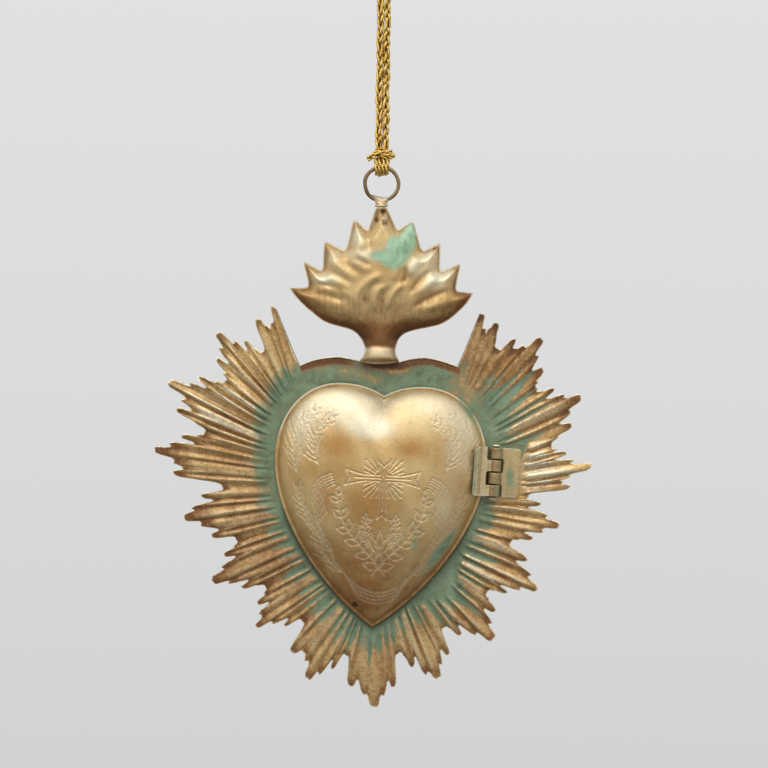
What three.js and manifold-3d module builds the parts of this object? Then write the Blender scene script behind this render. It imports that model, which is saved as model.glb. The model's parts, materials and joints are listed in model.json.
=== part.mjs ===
// Heart ex-voto: a stamped sheet-metal heart that opens on a small hinge, on a plate of corrugated rays,
// under a hollow flame, with a wire ring and a doubled cord to hang it by.
// Millimetres, +Z up, +Y into the wall. The origin is where a nail bears on the inside of the cord's loop.
import * as THREE from 'three';
import { mergeVertices } from 'three/addons/utils/BufferGeometryUtils.js';
import Module from 'manifold-3d';

const wasm = await Module();
wasm.setup();

// Seams and sheets
const SEAM = 0.3;            // solder seam between two joined pieces
const PLATE_SHEET = 0.7;     // thickness of the sunburst plate
const LID_SHEET = 0.6;       // thickness of the heart lid
const FLAME_SHEET = 0.6;     // thickness of the flame's front
const FLAME_BACK_SHEET = 0.5;
const BAND_SHEET = 0.6;      // thickness of the collar inside the lid

// Cord, knot and ring
const CORD_RADIUS = 1.05;
const CORD_SIDES = 8;
const CORD_STEPS = 60;
const CORD_DROP = 67.2;      // from the nail to the underside of the ring's top
const WIRE_RADIUS = 0.8;
const RING_RADIUS = 5.5;     // to the middle of the wire
const WIRE_SIDES = 10;
const RING_STEPS = 36;
const STEM_LENGTH = 9;       // below the ring, into the flame
const FERRULE_SHOW = 1.6;    // between the ring and the flame's tip
const FERRULE_LUG = 1.7;     // how far the cup's lugs rise beside the ring's wire
const FERRULE_TOP_RADIUS = 1.9;
const FERRULE_FOOT_RADIUS = 2.3;
const FERRULE_SIDES = 20;
const FERRULE_BORE_SIDES = 12;
const KNOT_RADIUS = 1.3;     // half the thickness of the knot's bar
const KNOT_RISE = 4.1;       // from the ring's wire up to the bar
const KNOT_STEPS = 12;
const WRAP_STEPS = 20;

// Heart lid, in the heart's own frame with its middle at the origin
const HEART_HALF_WIDTH = 35.4;
const HEART_WIDEST = 9.5;    // height of the widest place
const HEART_LOBE_TOP = 34.9;
const HEART_LOBE_OUT = 14;   // from the axis to the top of a lobe
const HEART_CLEFT = 31.2;
const HEART_TIP = 46;        // depth of the tip
const HEART_CURVE_STEPS = 9; // points on each of the outline's six curves
const CLEFT_HANDLE = 0.3;    // these eight shares shape the curves between the places above
const CLEFT_RISE = 0.73;
const LOBE_HANDLE = 0.65;
const BROW_HANDLE = 0.6;
const TEMPLE_HANDLE = 0.57;
const CHEEK_HANDLE = 0.35;
const CHIN_HANDLE = 0.52;
const CHIN_RISE = 0.22;
const HEART_SKEW = 2.2;      // degrees that the heart leans on the plate
const HEART_ASIDE = 0.5;     // from the plate's middle to the heart's
const HEART_BELOW_FOOT = 42.7;
const DOME_HEIGHT = 12;
const DOME_POWER = 0.6;      // lower is squarer at the rim
const LID_RIM = 1;           // width of the flat rim
const LID_ROUNDS = [0.955, 0.91, 0.82, 0.68, 0.48, 0.25];  // rounds of the dome, as shares of the outline
const OVAL_INSET = 1.4;      // the dome's inner rounds are an oval, this much narrower than the heart
const OVAL_UNTIL = 0.25;     // the share where the oval starts to turn into the heart
const HEART_FROM = 0.95;     // and where it has turned
const LID_HOLE_RADIUS = 0.7;
const LID_HOLE = [-6.1, -38.6];
const HOLE_SIDES = 12;
const BAND_HEIGHT = 3;
const BAND_INSET = 4.6;      // from the lid's edge in to the collar

// Hinge
const HINGE_HEIGHT = 7.8;    // above the heart's middle
const HINGE_TILT = 1.5;      // degrees, beside the heart's own skew
const HINGE_LENGTH = 16.4;
const KNUCKLES = 4;
const KNUCKLE_GAP = 0.35;
const BARREL_RADIUS = 2.2;
const BARREL_SIDES = 24;
const BARREL_TO_RIM = 0.6;   // from the barrel to the lid's edge
const LEAF_SHEET = 0.7;
const PLATE_LEAF_WIDTH = 8.5;
const LID_LEAF_WIDTH = 6.9;
const LID_LEAF_BEND = 5.2;   // where the lid's leaf turns up along the dome
const LID_LEAF_SEAM = 0.45;  // the lid's leaf is flat, so it stands a little further off the curved dome
const PIN_RADIUS = 0.9;
const PIN_SIDES = 16;
const PIN_HEAD_RADIUS = 1.5;
const PIN_HEAD = 0.9;        // height of a head
const PIN_HEAD_EDGE = 0.35;  // height of a head's straight edge
const PIN_HEAD_FLAT = 0.9;   // radius of a head's flat top
const WEB_OVERLAP = 0.1;     // how far a knuckle's web runs into its leaf
const CUT_PAST = 1;          // how far a cutting tool runs past what it cuts

// Sunburst plate, in the plate's frame with the heart's middle at its height
const RIDGE_HEIGHT = 1.4;
const RIDGES = 6;            // corrugations in each ray
const RIDGE_RISE = 0.15;     // share of a ray in which the corrugation rises
const SEAT_MARGIN = 1.5;     // flat sheet left round the lid and the hinge leaf
const SEAT_STEP = 0.01;      // step, as a share of a ray, in which the seat's end is looked for
const TONGUE_HALF_WIDTH = 4;
const TONGUE_HEIGHT = 8;

// The rays run from the top left, round the point, to the top right. Where each longest finger ends:
const RAY_TIPS = [
  [-36.2, 61.1], [-54.1, 51.8], [-70.5, 34.9], [-74.8, 12.2], [-64.5, -10.6], [-54.9, -31.5], [-40, -46.7],
  [-22.4, -63.8], [0, -72.8], [20.9, -62.9], [39.2, -49.7], [53.7, -32.8], [60.6, -11.7], [71.3, 8.9],
  [67.5, 32.2], [53.9, 51.4], [34.5, 59.1],
];
// Where each ray starts beside the heart:
const RAY_ROOTS = [
  [-28.7, 36.1], [-34.3, 29.1], [-36.8, 18], [-39.4, 7.3], [-37.8, -6.6], [-29.7, -20.2], [-19.8, -32.7],
  [-10.4, -43.4], [-0.5, -48.9], [11.9, -42.2], [21.2, -32.4], [29, -21.5], [33.8, -7.1], [39.4, 3.7],
  [39.5, 18], [35.4, 30.3], [29.3, 38.9],
];
// How far the finger before and the finger after the longest one reach, as shares of the ray:
const SIDE_REACHES = [
  [0.92, 0.92], [0.76, 0.79], [0.8, 0.84], [0.75, 0.88], [0.69, 0.77], [0.72, 0.76], [0.76, 0.71],
  [0.87, 0.7], [0.79, 0.79], [0.66, 0.79], [0.67, 0.75], [0.71, 0.75], [0.75, 0.66], [0.86, 0.73],
  [0.82, 0.77], [0.78, 0.82], [0.94, 0.94],
];
// The notch after each ray but the last: its place on the way to the next ray, and its reach.
const NOTCHES = [
  [0.58, 0.54], [0.5, 0.58], [0.53, 0.55], [0.53, 0.42], [0.5, 0.5], [0.48, 0.53], [0.34, 0.47], [0.36, 0.42],
  [0.5, 0.37], [0.49, 0.44], [0.56, 0.51], [0.56, 0.5], [0.49, 0.46], [0.44, 0.58], [0.42, 0.6], [0.45, 0.6],
];
// The straight sides of the gap at the top, from cusp to finger.
const LEFT_CUSP = [-27.4, 40.8];
const LEFT_CORNER = [-34.7, 60.1];
const RIGHT_CUSP = [26.6, 41.3];
const RIGHT_CORNER = [33.3, 59.3];
// The plate's upper edge, from the right cusp to the left one, without the tongue.
const TOP_EDGE_RIGHT = [[21.2, 43.1], [15.8, 44.2], [10.9, 43.8], [6.9, 42.8]];
const TOP_EDGE_LEFT = [[-5.8, 42.6], [-9.8, 43.6], [-14.8, 44.2], [-21.5, 43.1]];
// Half a ray's edge. Each point has its place, where 0.5 is the notch, and its reach. The longest finger's
// is a share of the ray, the side finger's counts from that finger's own reach, the rest from the notch's.
const LONG_FINGER = [[0, 1], [0.045, 0.97], [0.06, 0.85], [0.083, 0.82], [0.167, 0.84], [0.195, 0.78]];
const SIDE_FINGER = [[0.25, -0.11], [0.295, -0.1], [0.333, 0], [0.365, -0.03], [0.385, -0.14]];
const NOTCH_EDGE = [[0.417, 0.05], [0.5, 0]];

// Flame, in its own frame with the middle of its foot at the origin. The upper edge runs from the lowest
// left tooth, over the open tip, to the lowest right tooth.
const FLAME_HEIGHT = 51.3;
const TIP_HALF_WIDTH = 1.9;
const FLAME_TEETH_LEFT = [
  [-30.4, 24.1], [-23.8, 24.5], [-25.4, 32.5], [-19.3, 29.9], [-18.6, 39.4], [-11.7, 36.6], [-9.1, 46.8],
  [-4.4, 43.6],
];
const FLAME_TEETH_RIGHT = [
  [5.4, 43.9], [10.6, 46.4], [13.8, 36.7], [19.6, 39.5], [19.8, 30.1], [26.3, 32.5], [25, 23.9],
  [31.1, 23.2],
];
// The lower sides, from the foot up round the neck to the lowest teeth.
const FLAME_SIDE_LEFT = [[-7, 0], [-5, 4.4], [-8.6, 9.4], [-19.3, 12.6], [-28.1, 19.4], [-30.4, 24.1]];
const FLAME_SIDE_RIGHT = [[7, 0], [5.6, 4.4], [8.6, 9.4], [21.4, 12.6], [28.4, 18.4], [31.1, 23.2]];
const FLAME_ROWS = 10;
const FOOT_DEPTH = 5.6;      // how far the bell foot stands out
const NECK_DEPTH = 4.2;
const BELLY_DEPTH = 6.4;     // the flame's fullest place
const TIP_DEPTH = 2.6;       // at the open tip, round the ring's stem
const NECK_UP = 0.25;        // share of the flame's height where the foot has become the neck
const BELLY_FROM = 0.2;      // where the neck starts to swell, and where the belly is full
const BELLY_FULL = 0.6;
const BELLY_EDGE = 4;        // these powers flatten the belly towards its upper edge and its sides
const BELLY_POWER = 0.7;
const SIDE_POWER = 0.8;
const TIP_FROM = 0.7;        // where the open tip starts to rise
const TIP_WIDTH = 0.2;       // its half-width, as a share of the flame's

// The cord's route, from the knot up the left strand, round the nail and down the right strand.
const CORD_ROUTE = [
  [-1.15, 0, -60.5], [-1.15, 0, -56], [-1.17, 0, -50], [-1.2, 0, -42], [-1.22, 0, -34], [-1.25, 0, -26],
  [-1.28, 0, -18], [-1.3, 0, -12.5], [-1.35, 0, -9.4], [-1.85, 0, -7.6], [-2.75, 0, -6.3], [-3.85, 0, -4.8],
  [-4.2, 0, -3.1], [-3.64, 0, -1.05], [-2.1, 0, 0.49], [0, 0, 1.05], [2.1, 0, 0.49], [3.64, 0, -1.05],
  [4.2, 0, -3.1], [3.85, 0, -4.8], [2.75, 0, -6.3], [1.85, 0, -7.6], [1.35, 0, -9.4], [1.3, 0, -12.5],
  [1.28, 0, -18], [1.25, 0, -26], [1.22, 0, -34], [1.2, 0, -42], [1.17, 0, -50], [1.15, 0, -56],
  [1.15, 0, -60.5],
];
// The knot's bar with its two tails, from the middle of the ring's wire.
const KNOT_BAR = [
  [-4.9, -1, KNOT_RISE - 1.2], [-3.4, -1.4, KNOT_RISE - 0.3], [-1.4, -1, KNOT_RISE],
  [1.2, -1, KNOT_RISE], [2.8, -1.3, KNOT_RISE + 0.1], [3.7, -1, KNOT_RISE - 0.5],
];

// Depths, from the wall forwards. The ring and the cord lie at 0.
const CORD_TO_WALL = 0.2;
const WALL = WIRE_RADIUS + SEAM + 2 * CORD_RADIUS + CORD_TO_WALL;
const PLATE_FRONT = WALL - PLATE_SHEET;
const FLAME_BACK_REAR = PLATE_FRONT - SEAM;
const FLAME_BACK_FRONT = FLAME_BACK_REAR - FLAME_BACK_SHEET;
const FLAME_REAR = FLAME_BACK_FRONT - SEAM;
const LID_REAR = PLATE_FRONT - SEAM;

// Heights, from the nail down.
const RING_CENTRE = -(CORD_DROP + RING_RADIUS - WIRE_RADIUS);
const FLAME_TIP = RING_CENTRE - RING_RADIUS - WIRE_RADIUS - FERRULE_SHOW;
const FLAME_FOOT = FLAME_TIP - FLAME_HEIGHT;
const HEART_CENTRE = FLAME_FOOT - HEART_BELOW_FOOT;

const GILT = { color: 0xb9975c, metalness: 0.85, roughness: 0.45 };
const PATINA = { color: 0xa5834e, metalness: 0.8, roughness: 0.52 };
const DARK_BRASS = { color: 0x7a5a36, metalness: 0.8, roughness: 0.5 };
const COPPER = { color: 0xa8714f, metalness: 0.85, roughness: 0.4 };
const GOLD_CORD = { color: 0xb98a2e, metalness: 0.6, roughness: 0.5 };

// Helpers for solids

function solidOf(geometry) {
  const bare = geometry.clone();
  bare.deleteAttribute('normal');
  bare.deleteAttribute('uv');
  const merged = mergeVertices(bare, 1e-4);
  return new wasm.Manifold(new wasm.Mesh({
    numProp: 3,
    vertProperties: new Float32Array(merged.attributes.position.array),
    triVerts: new Uint32Array(merged.index.array),
  }));
}

function geometryOf(solid) {
  const mesh = solid.getMesh();
  const geometry = new THREE.BufferGeometry();
  geometry.setAttribute('position', new THREE.BufferAttribute(new Float32Array(mesh.vertProperties), 3));
  geometry.setIndex([...mesh.triVerts]);
  geometry.computeVertexNormals();
  return geometry;
}

function piece(name, geometry, look) {
  const mesh = new THREE.Mesh(geometry, new THREE.MeshStandardMaterial(look));
  mesh.name = name;
  return mesh;
}

// A sheet with a front and a rear skin over the same triangles, closed round its edges.
// The triangles turn anticlockwise as seen from the front.
function thickSheet(front, rear, triangles) {
  const count = front.length;
  const faces = [];
  const directed = new Set();
  for (const [a, b, c] of triangles) {
    faces.push(a, b, c, count + a, count + c, count + b);
    for (const [from, to] of [[a, b], [b, c], [c, a]]) {
      directed.add(`${from},${to}`);
    }
  }
  for (const [a, b, c] of triangles) {
    for (const [from, to] of [[a, b], [b, c], [c, a]]) {
      if (!directed.has(`${to},${from}`)) {
        faces.push(to, from, count + from, to, count + from, count + to);
      }
    }
  }
  const geometry = new THREE.BufferGeometry();
  geometry.setAttribute('position', new THREE.Float32BufferAttribute([...front, ...rear].flat(), 3));
  geometry.setIndex(faces);
  geometry.computeVertexNormals();
  return geometry;
}

// The two triangles between two neighbouring columns of points, from one row to the next.
function quad(column, next, row) {
  return [[column[row], next[row], next[row + 1]], [column[row], next[row + 1], column[row + 1]]];
}

function roundShape(radius, sides) {
  const shape = new THREE.Shape();
  shape.absarc(0, 0, radius, 0, 2 * Math.PI);
  return new THREE.Shape(shape.getSpacedPoints(sides).slice(0, sides));
}

function tube(points, radius, sides, steps) {
  const path = new THREE.CatmullRomCurve3(points.map((p) => new THREE.Vector3(...p)));
  const section = roundShape(radius, sides);
  return new THREE.ExtrudeGeometry(section, { steps, extrudePath: path, bevelEnabled: false });
}

function along(points, share) {
  const at = new THREE.SplineCurve(points.map((p) => new THREE.Vector2(...p))).getPoint(share);
  return [at.x, at.y];
}

function between(a, b, share) {
  return [a[0] + (b[0] - a[0]) * share, a[1] + (b[1] - a[1]) * share];
}

// Heart outline and dome

function heartOutline() {
  const shape = new THREE.Shape();
  const cleftHandle = CLEFT_HANDLE * HEART_LOBE_OUT;
  const lobeHandle = LOBE_HANDLE * HEART_LOBE_OUT;
  const brow = HEART_LOBE_OUT + BROW_HANDLE * (HEART_HALF_WIDTH - HEART_LOBE_OUT);
  const temple = HEART_WIDEST + TEMPLE_HANDLE * (HEART_LOBE_TOP - HEART_WIDEST);
  const cheek = HEART_WIDEST - CHEEK_HANDLE * (HEART_WIDEST + HEART_TIP);
  const chinOut = CHIN_HANDLE * HEART_HALF_WIDTH;
  const chin = -HEART_TIP + CHIN_RISE * (HEART_WIDEST + HEART_TIP);
  const dip = HEART_CLEFT + CLEFT_RISE * (HEART_LOBE_TOP - HEART_CLEFT);
  shape.moveTo(0, HEART_CLEFT);
  shape.bezierCurveTo(-cleftHandle, dip, -lobeHandle, HEART_LOBE_TOP, -HEART_LOBE_OUT, HEART_LOBE_TOP);
  shape.bezierCurveTo(-brow, HEART_LOBE_TOP, -HEART_HALF_WIDTH, temple, -HEART_HALF_WIDTH, HEART_WIDEST);
  shape.bezierCurveTo(-HEART_HALF_WIDTH, cheek, -chinOut, chin, 0, -HEART_TIP);
  shape.bezierCurveTo(chinOut, chin, HEART_HALF_WIDTH, cheek, HEART_HALF_WIDTH, HEART_WIDEST);
  shape.bezierCurveTo(HEART_HALF_WIDTH, temple, brow, HEART_LOBE_TOP, HEART_LOBE_OUT, HEART_LOBE_TOP);
  shape.bezierCurveTo(lobeHandle, HEART_LOBE_TOP, cleftHandle, dip, 0, HEART_CLEFT);
  const points = shape.getPoints(HEART_CURVE_STEPS);
  return points.slice(0, points.length - 1).map((p) => [p.x, p.y]);
}

const HEART = heartOutline();

// The outline's reach from the heart's middle in the direction of a point.
function heartReach(x, z) {
  for (let i = 0; i < HEART.length; i += 1) {
    const [ax, az] = HEART[i];
    const [bx, bz] = HEART[(i + 1) % HEART.length];
    const turnA = ax * z - az * x;
    const turnB = bx * z - bz * x;
    const facing = (ax + bx) * x + (az + bz) * z > 0;
    if (facing && turnA >= 0 && turnB < 0) {
      const share = turnA / (turnA - turnB);
      return Math.hypot(ax + (bx - ax) * share, az + (bz - az) * share);
    }
  }
  return HEART_HALF_WIDTH;
}

// The dome's rise at a share of the way from the middle to the outline.
const RIM_SHARE = 1 - LID_RIM / HEART_HALF_WIDTH;

function domeRise(share) {
  const within = Math.min(share / RIM_SHARE, 1);
  return DOME_HEIGHT * (1 - within * within) ** DOME_POWER;
}

// The dome's inner rounds turn from the heart's outline into an oval, so that the cleft fades out.
const OVAL_HALF_WIDTH = HEART_HALF_WIDTH - OVAL_INSET;
const OVAL_HALF_HEIGHT = 0.5 * (HEART_CLEFT + HEART_TIP);

function lidPoint(corner, share) {
  const reach = Math.hypot(...corner);
  const [ux, uz] = [corner[0] / reach, corner[1] / reach];
  const oval = (OVAL_HALF_WIDTH * OVAL_HALF_HEIGHT) / Math.hypot(OVAL_HALF_HEIGHT * ux, OVAL_HALF_WIDTH * uz);
  const heartness = THREE.MathUtils.smoothstep(share, OVAL_UNTIL, HEART_FROM);
  const out = share * (oval + (reach - oval) * heartness);
  return [ux * out, uz * out];
}

function heartLid() {
  const shares = [1, RIM_SHARE, ...LID_ROUNDS];
  const front = [[0, LID_REAR - LID_SHEET - DOME_HEIGHT, 0]];
  const rear = [[0, LID_REAR - DOME_HEIGHT, 0]];
  const columns = HEART.map((corner) => shares.map((share) => {
    const [x, z] = lidPoint(corner, share);
    front.push([x, LID_REAR - LID_SHEET - domeRise(share), z]);
    rear.push([x, LID_REAR - domeRise(share), z]);
    return front.length - 1;
  }));
  const triangles = [];
  columns.forEach((column, i) => {
    const next = columns[(i + 1) % columns.length];
    for (let row = 0; row + 1 < shares.length; row += 1) {
      triangles.push(...quad(column, next, row));
    }
    triangles.push([column[shares.length - 1], next[shares.length - 1], 0]);
  });
  const drill = new THREE.CylinderGeometry(LID_HOLE_RADIUS, LID_HOLE_RADIUS, 4 * DOME_HEIGHT, HOLE_SIDES);
  drill.translate(LID_HOLE[0], LID_REAR, LID_HOLE[1]);
  return geometryOf(solidOf(thickSheet(front, rear, triangles)).subtract(solidOf(drill)));
}

function locatingBand() {
  const outer = 1 - BAND_INSET / HEART_HALF_WIDTH;
  const inner = outer - BAND_SHEET / HEART_HALF_WIDTH;
  const shape = new THREE.Shape(HEART.map(([x, z]) => new THREE.Vector2(x * outer, z * outer)));
  shape.holes.push(new THREE.Path(HEART.map(([x, z]) => new THREE.Vector2(x * inner, z * inner))));
  const geometry = new THREE.ExtrudeGeometry(shape, { depth: BAND_HEIGHT, bevelEnabled: false });
  geometry.rotateX(Math.PI / 2);
  geometry.translate(0, PLATE_FRONT - SEAM, 0);
  return geometry;
}

// Hinge, in its own frame: the pin along Z, the plate's leaf towards +X, the viewer towards -Y.

const LEAF_START = BARREL_RADIUS + KNUCKLE_GAP;
const BORE_RADIUS = PIN_RADIUS + SEAM;
const KNUCKLE_LENGTH = (HINGE_LENGTH - (KNUCKLES - 1) * KNUCKLE_GAP) / KNUCKLES;
const PIN_TO_RIM = BARREL_RADIUS + BARREL_TO_RIM;
const PIN_FRONT = PLATE_FRONT - SEAM - BARREL_RADIUS;

function upright(shape, length, bottom) {
  const geometry = new THREE.ExtrudeGeometry(shape, { depth: length, bevelEnabled: false });
  geometry.translate(0, 0, bottom);
  return geometry;
}

function outlineShape(points) {
  return new THREE.Shape(points.map(([x, y]) => new THREE.Vector2(x, y)));
}

function knuckleShape() {
  const shape = roundShape(BARREL_RADIUS, BARREL_SIDES);
  shape.holes.push(new THREE.Path(roundShape(BORE_RADIUS, BARREL_SIDES).getPoints()));
  return shape;
}

// A leaf with every second knuckle, counted from the top.
function hingeLeaf(profile, web, firstKnuckle) {
  let solid = solidOf(upright(outlineShape(profile), HINGE_LENGTH, -HINGE_LENGTH / 2));
  for (let i = firstKnuckle; i < KNUCKLES; i += 2) {
    const bottom = HINGE_LENGTH / 2 - i * (KNUCKLE_LENGTH + KNUCKLE_GAP) - KNUCKLE_LENGTH;
    solid = solid.add(solidOf(upright(outlineShape(web), KNUCKLE_LENGTH, bottom)));
    const boreShape = roundShape(BORE_RADIUS, BARREL_SIDES);
    const bore = solidOf(upright(boreShape, KNUCKLE_LENGTH + 2 * CUT_PAST, bottom - CUT_PAST));
    solid = solid.add(solidOf(upright(knuckleShape(), KNUCKLE_LENGTH, bottom))).subtract(bore);
  }
  return geometryOf(solid);
}

function plateLeaf() {
  const rear = BARREL_RADIUS;
  const front = BARREL_RADIUS - LEAF_SHEET;
  const profile = [
    [LEAF_START, front], [PLATE_LEAF_WIDTH, front], [PLATE_LEAF_WIDTH, rear], [LEAF_START, rear],
  ];
  const webEnd = LEAF_START + WEB_OVERLAP;
  const web = [[0, front], [webEnd, front], [webEnd, rear], [0, rear]];
  return hingeLeaf(profile, web, 0);
}

function lidLeaf() {
  const front = -BARREL_RADIUS;
  const rear = front + LEAF_SHEET;
  const edgeShare = 1 - (LID_LEAF_WIDTH - PIN_TO_RIM) / HEART_HALF_WIDTH;
  const domeFront = LID_REAR - LID_SHEET - domeRise(edgeShare) - PIN_FRONT;
  const edgeRear = Math.min(domeFront - LID_LEAF_SEAM, rear);
  const profile = [
    [-LEAF_START, front], [-LEAF_START, rear], [-LID_LEAF_BEND, rear], [-LID_LEAF_WIDTH, edgeRear],
    [-LID_LEAF_WIDTH, edgeRear - LEAF_SHEET], [-LID_LEAF_BEND, front],
  ];
  const webEnd = -LEAF_START - WEB_OVERLAP;
  const web = [[0, front], [0, rear], [webEnd, rear], [webEnd, front]];
  return hingeLeaf(profile.reverse(), web.reverse(), 1);
}

function hingePin() {
  const shank = HINGE_LENGTH / 2 + SEAM;
  const edge = shank + PIN_HEAD_EDGE;
  const top = shank + PIN_HEAD;
  const upper = [
    [PIN_RADIUS, shank], [PIN_HEAD_RADIUS, shank], [PIN_HEAD_RADIUS, edge], [PIN_HEAD_FLAT, top], [0, top],
  ];
  const lower = upper.map(([radius, height]) => [radius, -height]).reverse();
  const profile = [...lower, ...upper].map(([radius, height]) => new THREE.Vector2(radius, height));
  const geometry = new THREE.LatheGeometry(profile, PIN_SIDES);
  geometry.rotateX(Math.PI / 2);
  return geometryOf(solidOf(geometry));
}

// Places in the plate's frame

function leaning(degrees, x, y, z) {
  const frame = new THREE.Matrix4().makeRotationY(THREE.MathUtils.degToRad(degrees));
  return frame.setPosition(x, y, z);
}

const RIM_TRIES = 20;
const heartFrame = leaning(HEART_SKEW, HEART_ASIDE, 0, 0);
const hingeOut = heartRimBeside(HINGE_HEIGHT) + PIN_TO_RIM;
const hingeFrame = leaning(HINGE_TILT, hingeOut, PIN_FRONT, HINGE_HEIGHT);

// How far out the heart's right edge is at a height.
function heartRimBeside(height) {
  let out = HEART_HALF_WIDTH;
  for (let i = 0; i < RIM_TRIES; i += 1) {
    const reach = heartReach(out, height);
    out = Math.sqrt(Math.max(reach * reach - height * height, 0));
  }
  return out;
}

// Sunburst plate

const toHeart = heartFrame.clone().invert();
const toHinge = new THREE.Matrix4().multiplyMatrices(heartFrame, hingeFrame).invert();

// Whether the lid or the hinge's leaf needs the sheet flat here.
function isSeat(x, z) {
  const inHeart = new THREE.Vector3(x, 0, z).applyMatrix4(toHeart);
  if (Math.hypot(inHeart.x, inHeart.z) < heartReach(inHeart.x, inHeart.z) + SEAT_MARGIN) {
    return true;
  }
  const inHinge = new THREE.Vector3(x, PIN_FRONT, z).applyMatrix4(toHinge);
  const beside = inHinge.x > -PIN_TO_RIM && inHinge.x < PLATE_LEAF_WIDTH + SEAT_MARGIN;
  return beside && Math.abs(inHinge.z) < HINGE_LENGTH / 2 + SEAT_MARGIN;
}

// The last share of a ray's line that lies on a seat.
function seatShare(root, tip) {
  let last = 0;
  for (let share = 0; share < 1; share += SEAT_STEP) {
    if (isSeat(...between(root, tip, share))) {
      last = share + SEAT_STEP;
    }
  }
  return last;
}

// The points along half a ray's edge, out from its longest finger.
function halfRay(side, notch) {
  return [
    ...LONG_FINGER,
    ...SIDE_FINGER.map(([aside, more]) => [aside, side + more]),
    ...NOTCH_EDGE.map(([aside, more]) => [aside, notch + more]),
  ];
}

// Columns of the plate: a line from the heart outwards, how far the sheet reaches on it and its corrugation.
function rayColumns() {
  const last = RAY_TIPS.length - 1;
  const columns = [{ root: LEFT_CUSP, tip: LEFT_CORNER, reach: 1, ridge: 0 }];
  const add = (place, aside, reach) => {
    const ridge = 0.5 + 0.5 * Math.cos(2 * Math.PI * RIDGES * aside);
    columns.push({ root: along(RAY_ROOTS, place / last), tip: along(RAY_TIPS, place / last), reach, ridge });
  };
  SIDE_REACHES.forEach(([before, after], ray) => {
    if (ray > 0) {
      const [notchPlace, notchReach] = NOTCHES[ray - 1];
      for (const [aside, reach] of halfRay(before, notchReach).slice(1, -1).reverse()) {
        add(ray - aside * 2 * (1 - notchPlace), aside, reach);
      }
    }
    add(ray, 0, 1);
    if (ray < last) {
      const [notchPlace, notchReach] = NOTCHES[ray];
      for (const [aside, reach] of halfRay(after, notchReach).slice(1)) {
        add(ray + aside * 2 * notchPlace, aside, reach);
      }
    }
  });
  columns.push({ root: RIGHT_CUSP, tip: RIGHT_CORNER, reach: 1, ridge: 0 });
  return columns;
}

function sunburstPlate() {
  const front = [[0, PLATE_FRONT, 0]];
  const rear = [[0, WALL, 0]];
  const point = ([x, z], raised) => {
    front.push([x, PLATE_FRONT - raised, z]);
    rear.push([x, WALL - raised, z]);
    return front.length - 1;
  };
  const columns = rayColumns().map(({ root, tip, reach, ridge }) => {
    const start = seatShare(root, tip);
    const risen = Math.min(start + RIDGE_RISE, 0.5 * (start + reach));
    return [
      point(between(root, tip, start), 0),
      point(between(root, tip, risen), ridge * RIDGE_HEIGHT),
      point(between(root, tip, reach), ridge * RIDGE_HEIGHT),
    ];
  });
  const triangles = [];
  for (let i = 0; i + 1 < columns.length; i += 1) {
    triangles.push([0, columns[i][0], columns[i + 1][0]]);
    triangles.push(...quad(columns[i + 1], columns[i], 0), ...quad(columns[i + 1], columns[i], 1));
  }
  const tongueFoot = HEART_BELOW_FOOT;
  const tongueTop = HEART_BELOW_FOOT + TONGUE_HEIGHT;
  const edge = [
    ...TOP_EDGE_RIGHT, [TONGUE_HALF_WIDTH, tongueFoot], [TONGUE_HALF_WIDTH, tongueTop],
    [-TONGUE_HALF_WIDTH, tongueTop], [-TONGUE_HALF_WIDTH, tongueFoot], ...TOP_EDGE_LEFT,
  ].map((place) => point(place, 0));
  const rim = [columns[columns.length - 1][0], ...edge, columns[0][0]];
  for (let i = 0; i + 1 < rim.length; i += 1) {
    triangles.push([0, rim[i], rim[i + 1]]);
  }
  return thickSheet(front, rear, triangles);
}

// Flame

function polylinePoint(points, share) {
  const path = new THREE.CurvePath();
  for (let i = 0; i + 1 < points.length; i += 1) {
    path.add(new THREE.LineCurve(new THREE.Vector2(...points[i]), new THREE.Vector2(...points[i + 1])));
  }
  const at = path.getPointAt(share);
  return [at.x, at.y];
}

function flameEdge() {
  const tip = [[-TIP_HALF_WIDTH, FLAME_HEIGHT], [0, FLAME_HEIGHT], [TIP_HALF_WIDTH, FLAME_HEIGHT]];
  const corners = [...FLAME_TEETH_LEFT, ...tip, ...FLAME_TEETH_RIGHT];
  const withMiddle = (corner, i) => (i === 0 ? [corner] : [between(corners[i - 1], corner, 0.5), corner]);
  return corners.flatMap(withMiddle);
}

// The flame's grid is stretched between its foot, its two lower sides and its toothed upper edge.
function flameGrid() {
  const edge = flameEdge();
  const footLeft = FLAME_SIDE_LEFT[0];
  const footRight = FLAME_SIDE_RIGHT[0];
  const edgeLeft = edge[0];
  const edgeRight = edge[edge.length - 1];
  const rows = [];
  for (let row = 0; row <= FLAME_ROWS; row += 1) {
    const up = row / FLAME_ROWS;
    const left = row === FLAME_ROWS ? edgeLeft : along(FLAME_SIDE_LEFT, up);
    const right = row === FLAME_ROWS ? edgeRight : along(FLAME_SIDE_RIGHT, up);
    rows.push(edge.map((top, i) => {
      const across = i / (edge.length - 1);
      const foot = between(footLeft, footRight, across);
      const sides = between(left, right, across);
      const ends = between(foot, top, up);
      const corners = between(between(footLeft, footRight, across), between(edgeLeft, edgeRight, across), up);
      return { x: sides[0] + ends[0] - corners[0], z: sides[1] + ends[1] - corners[1], across, up };
    }));
  }
  return rows;
}

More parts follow.
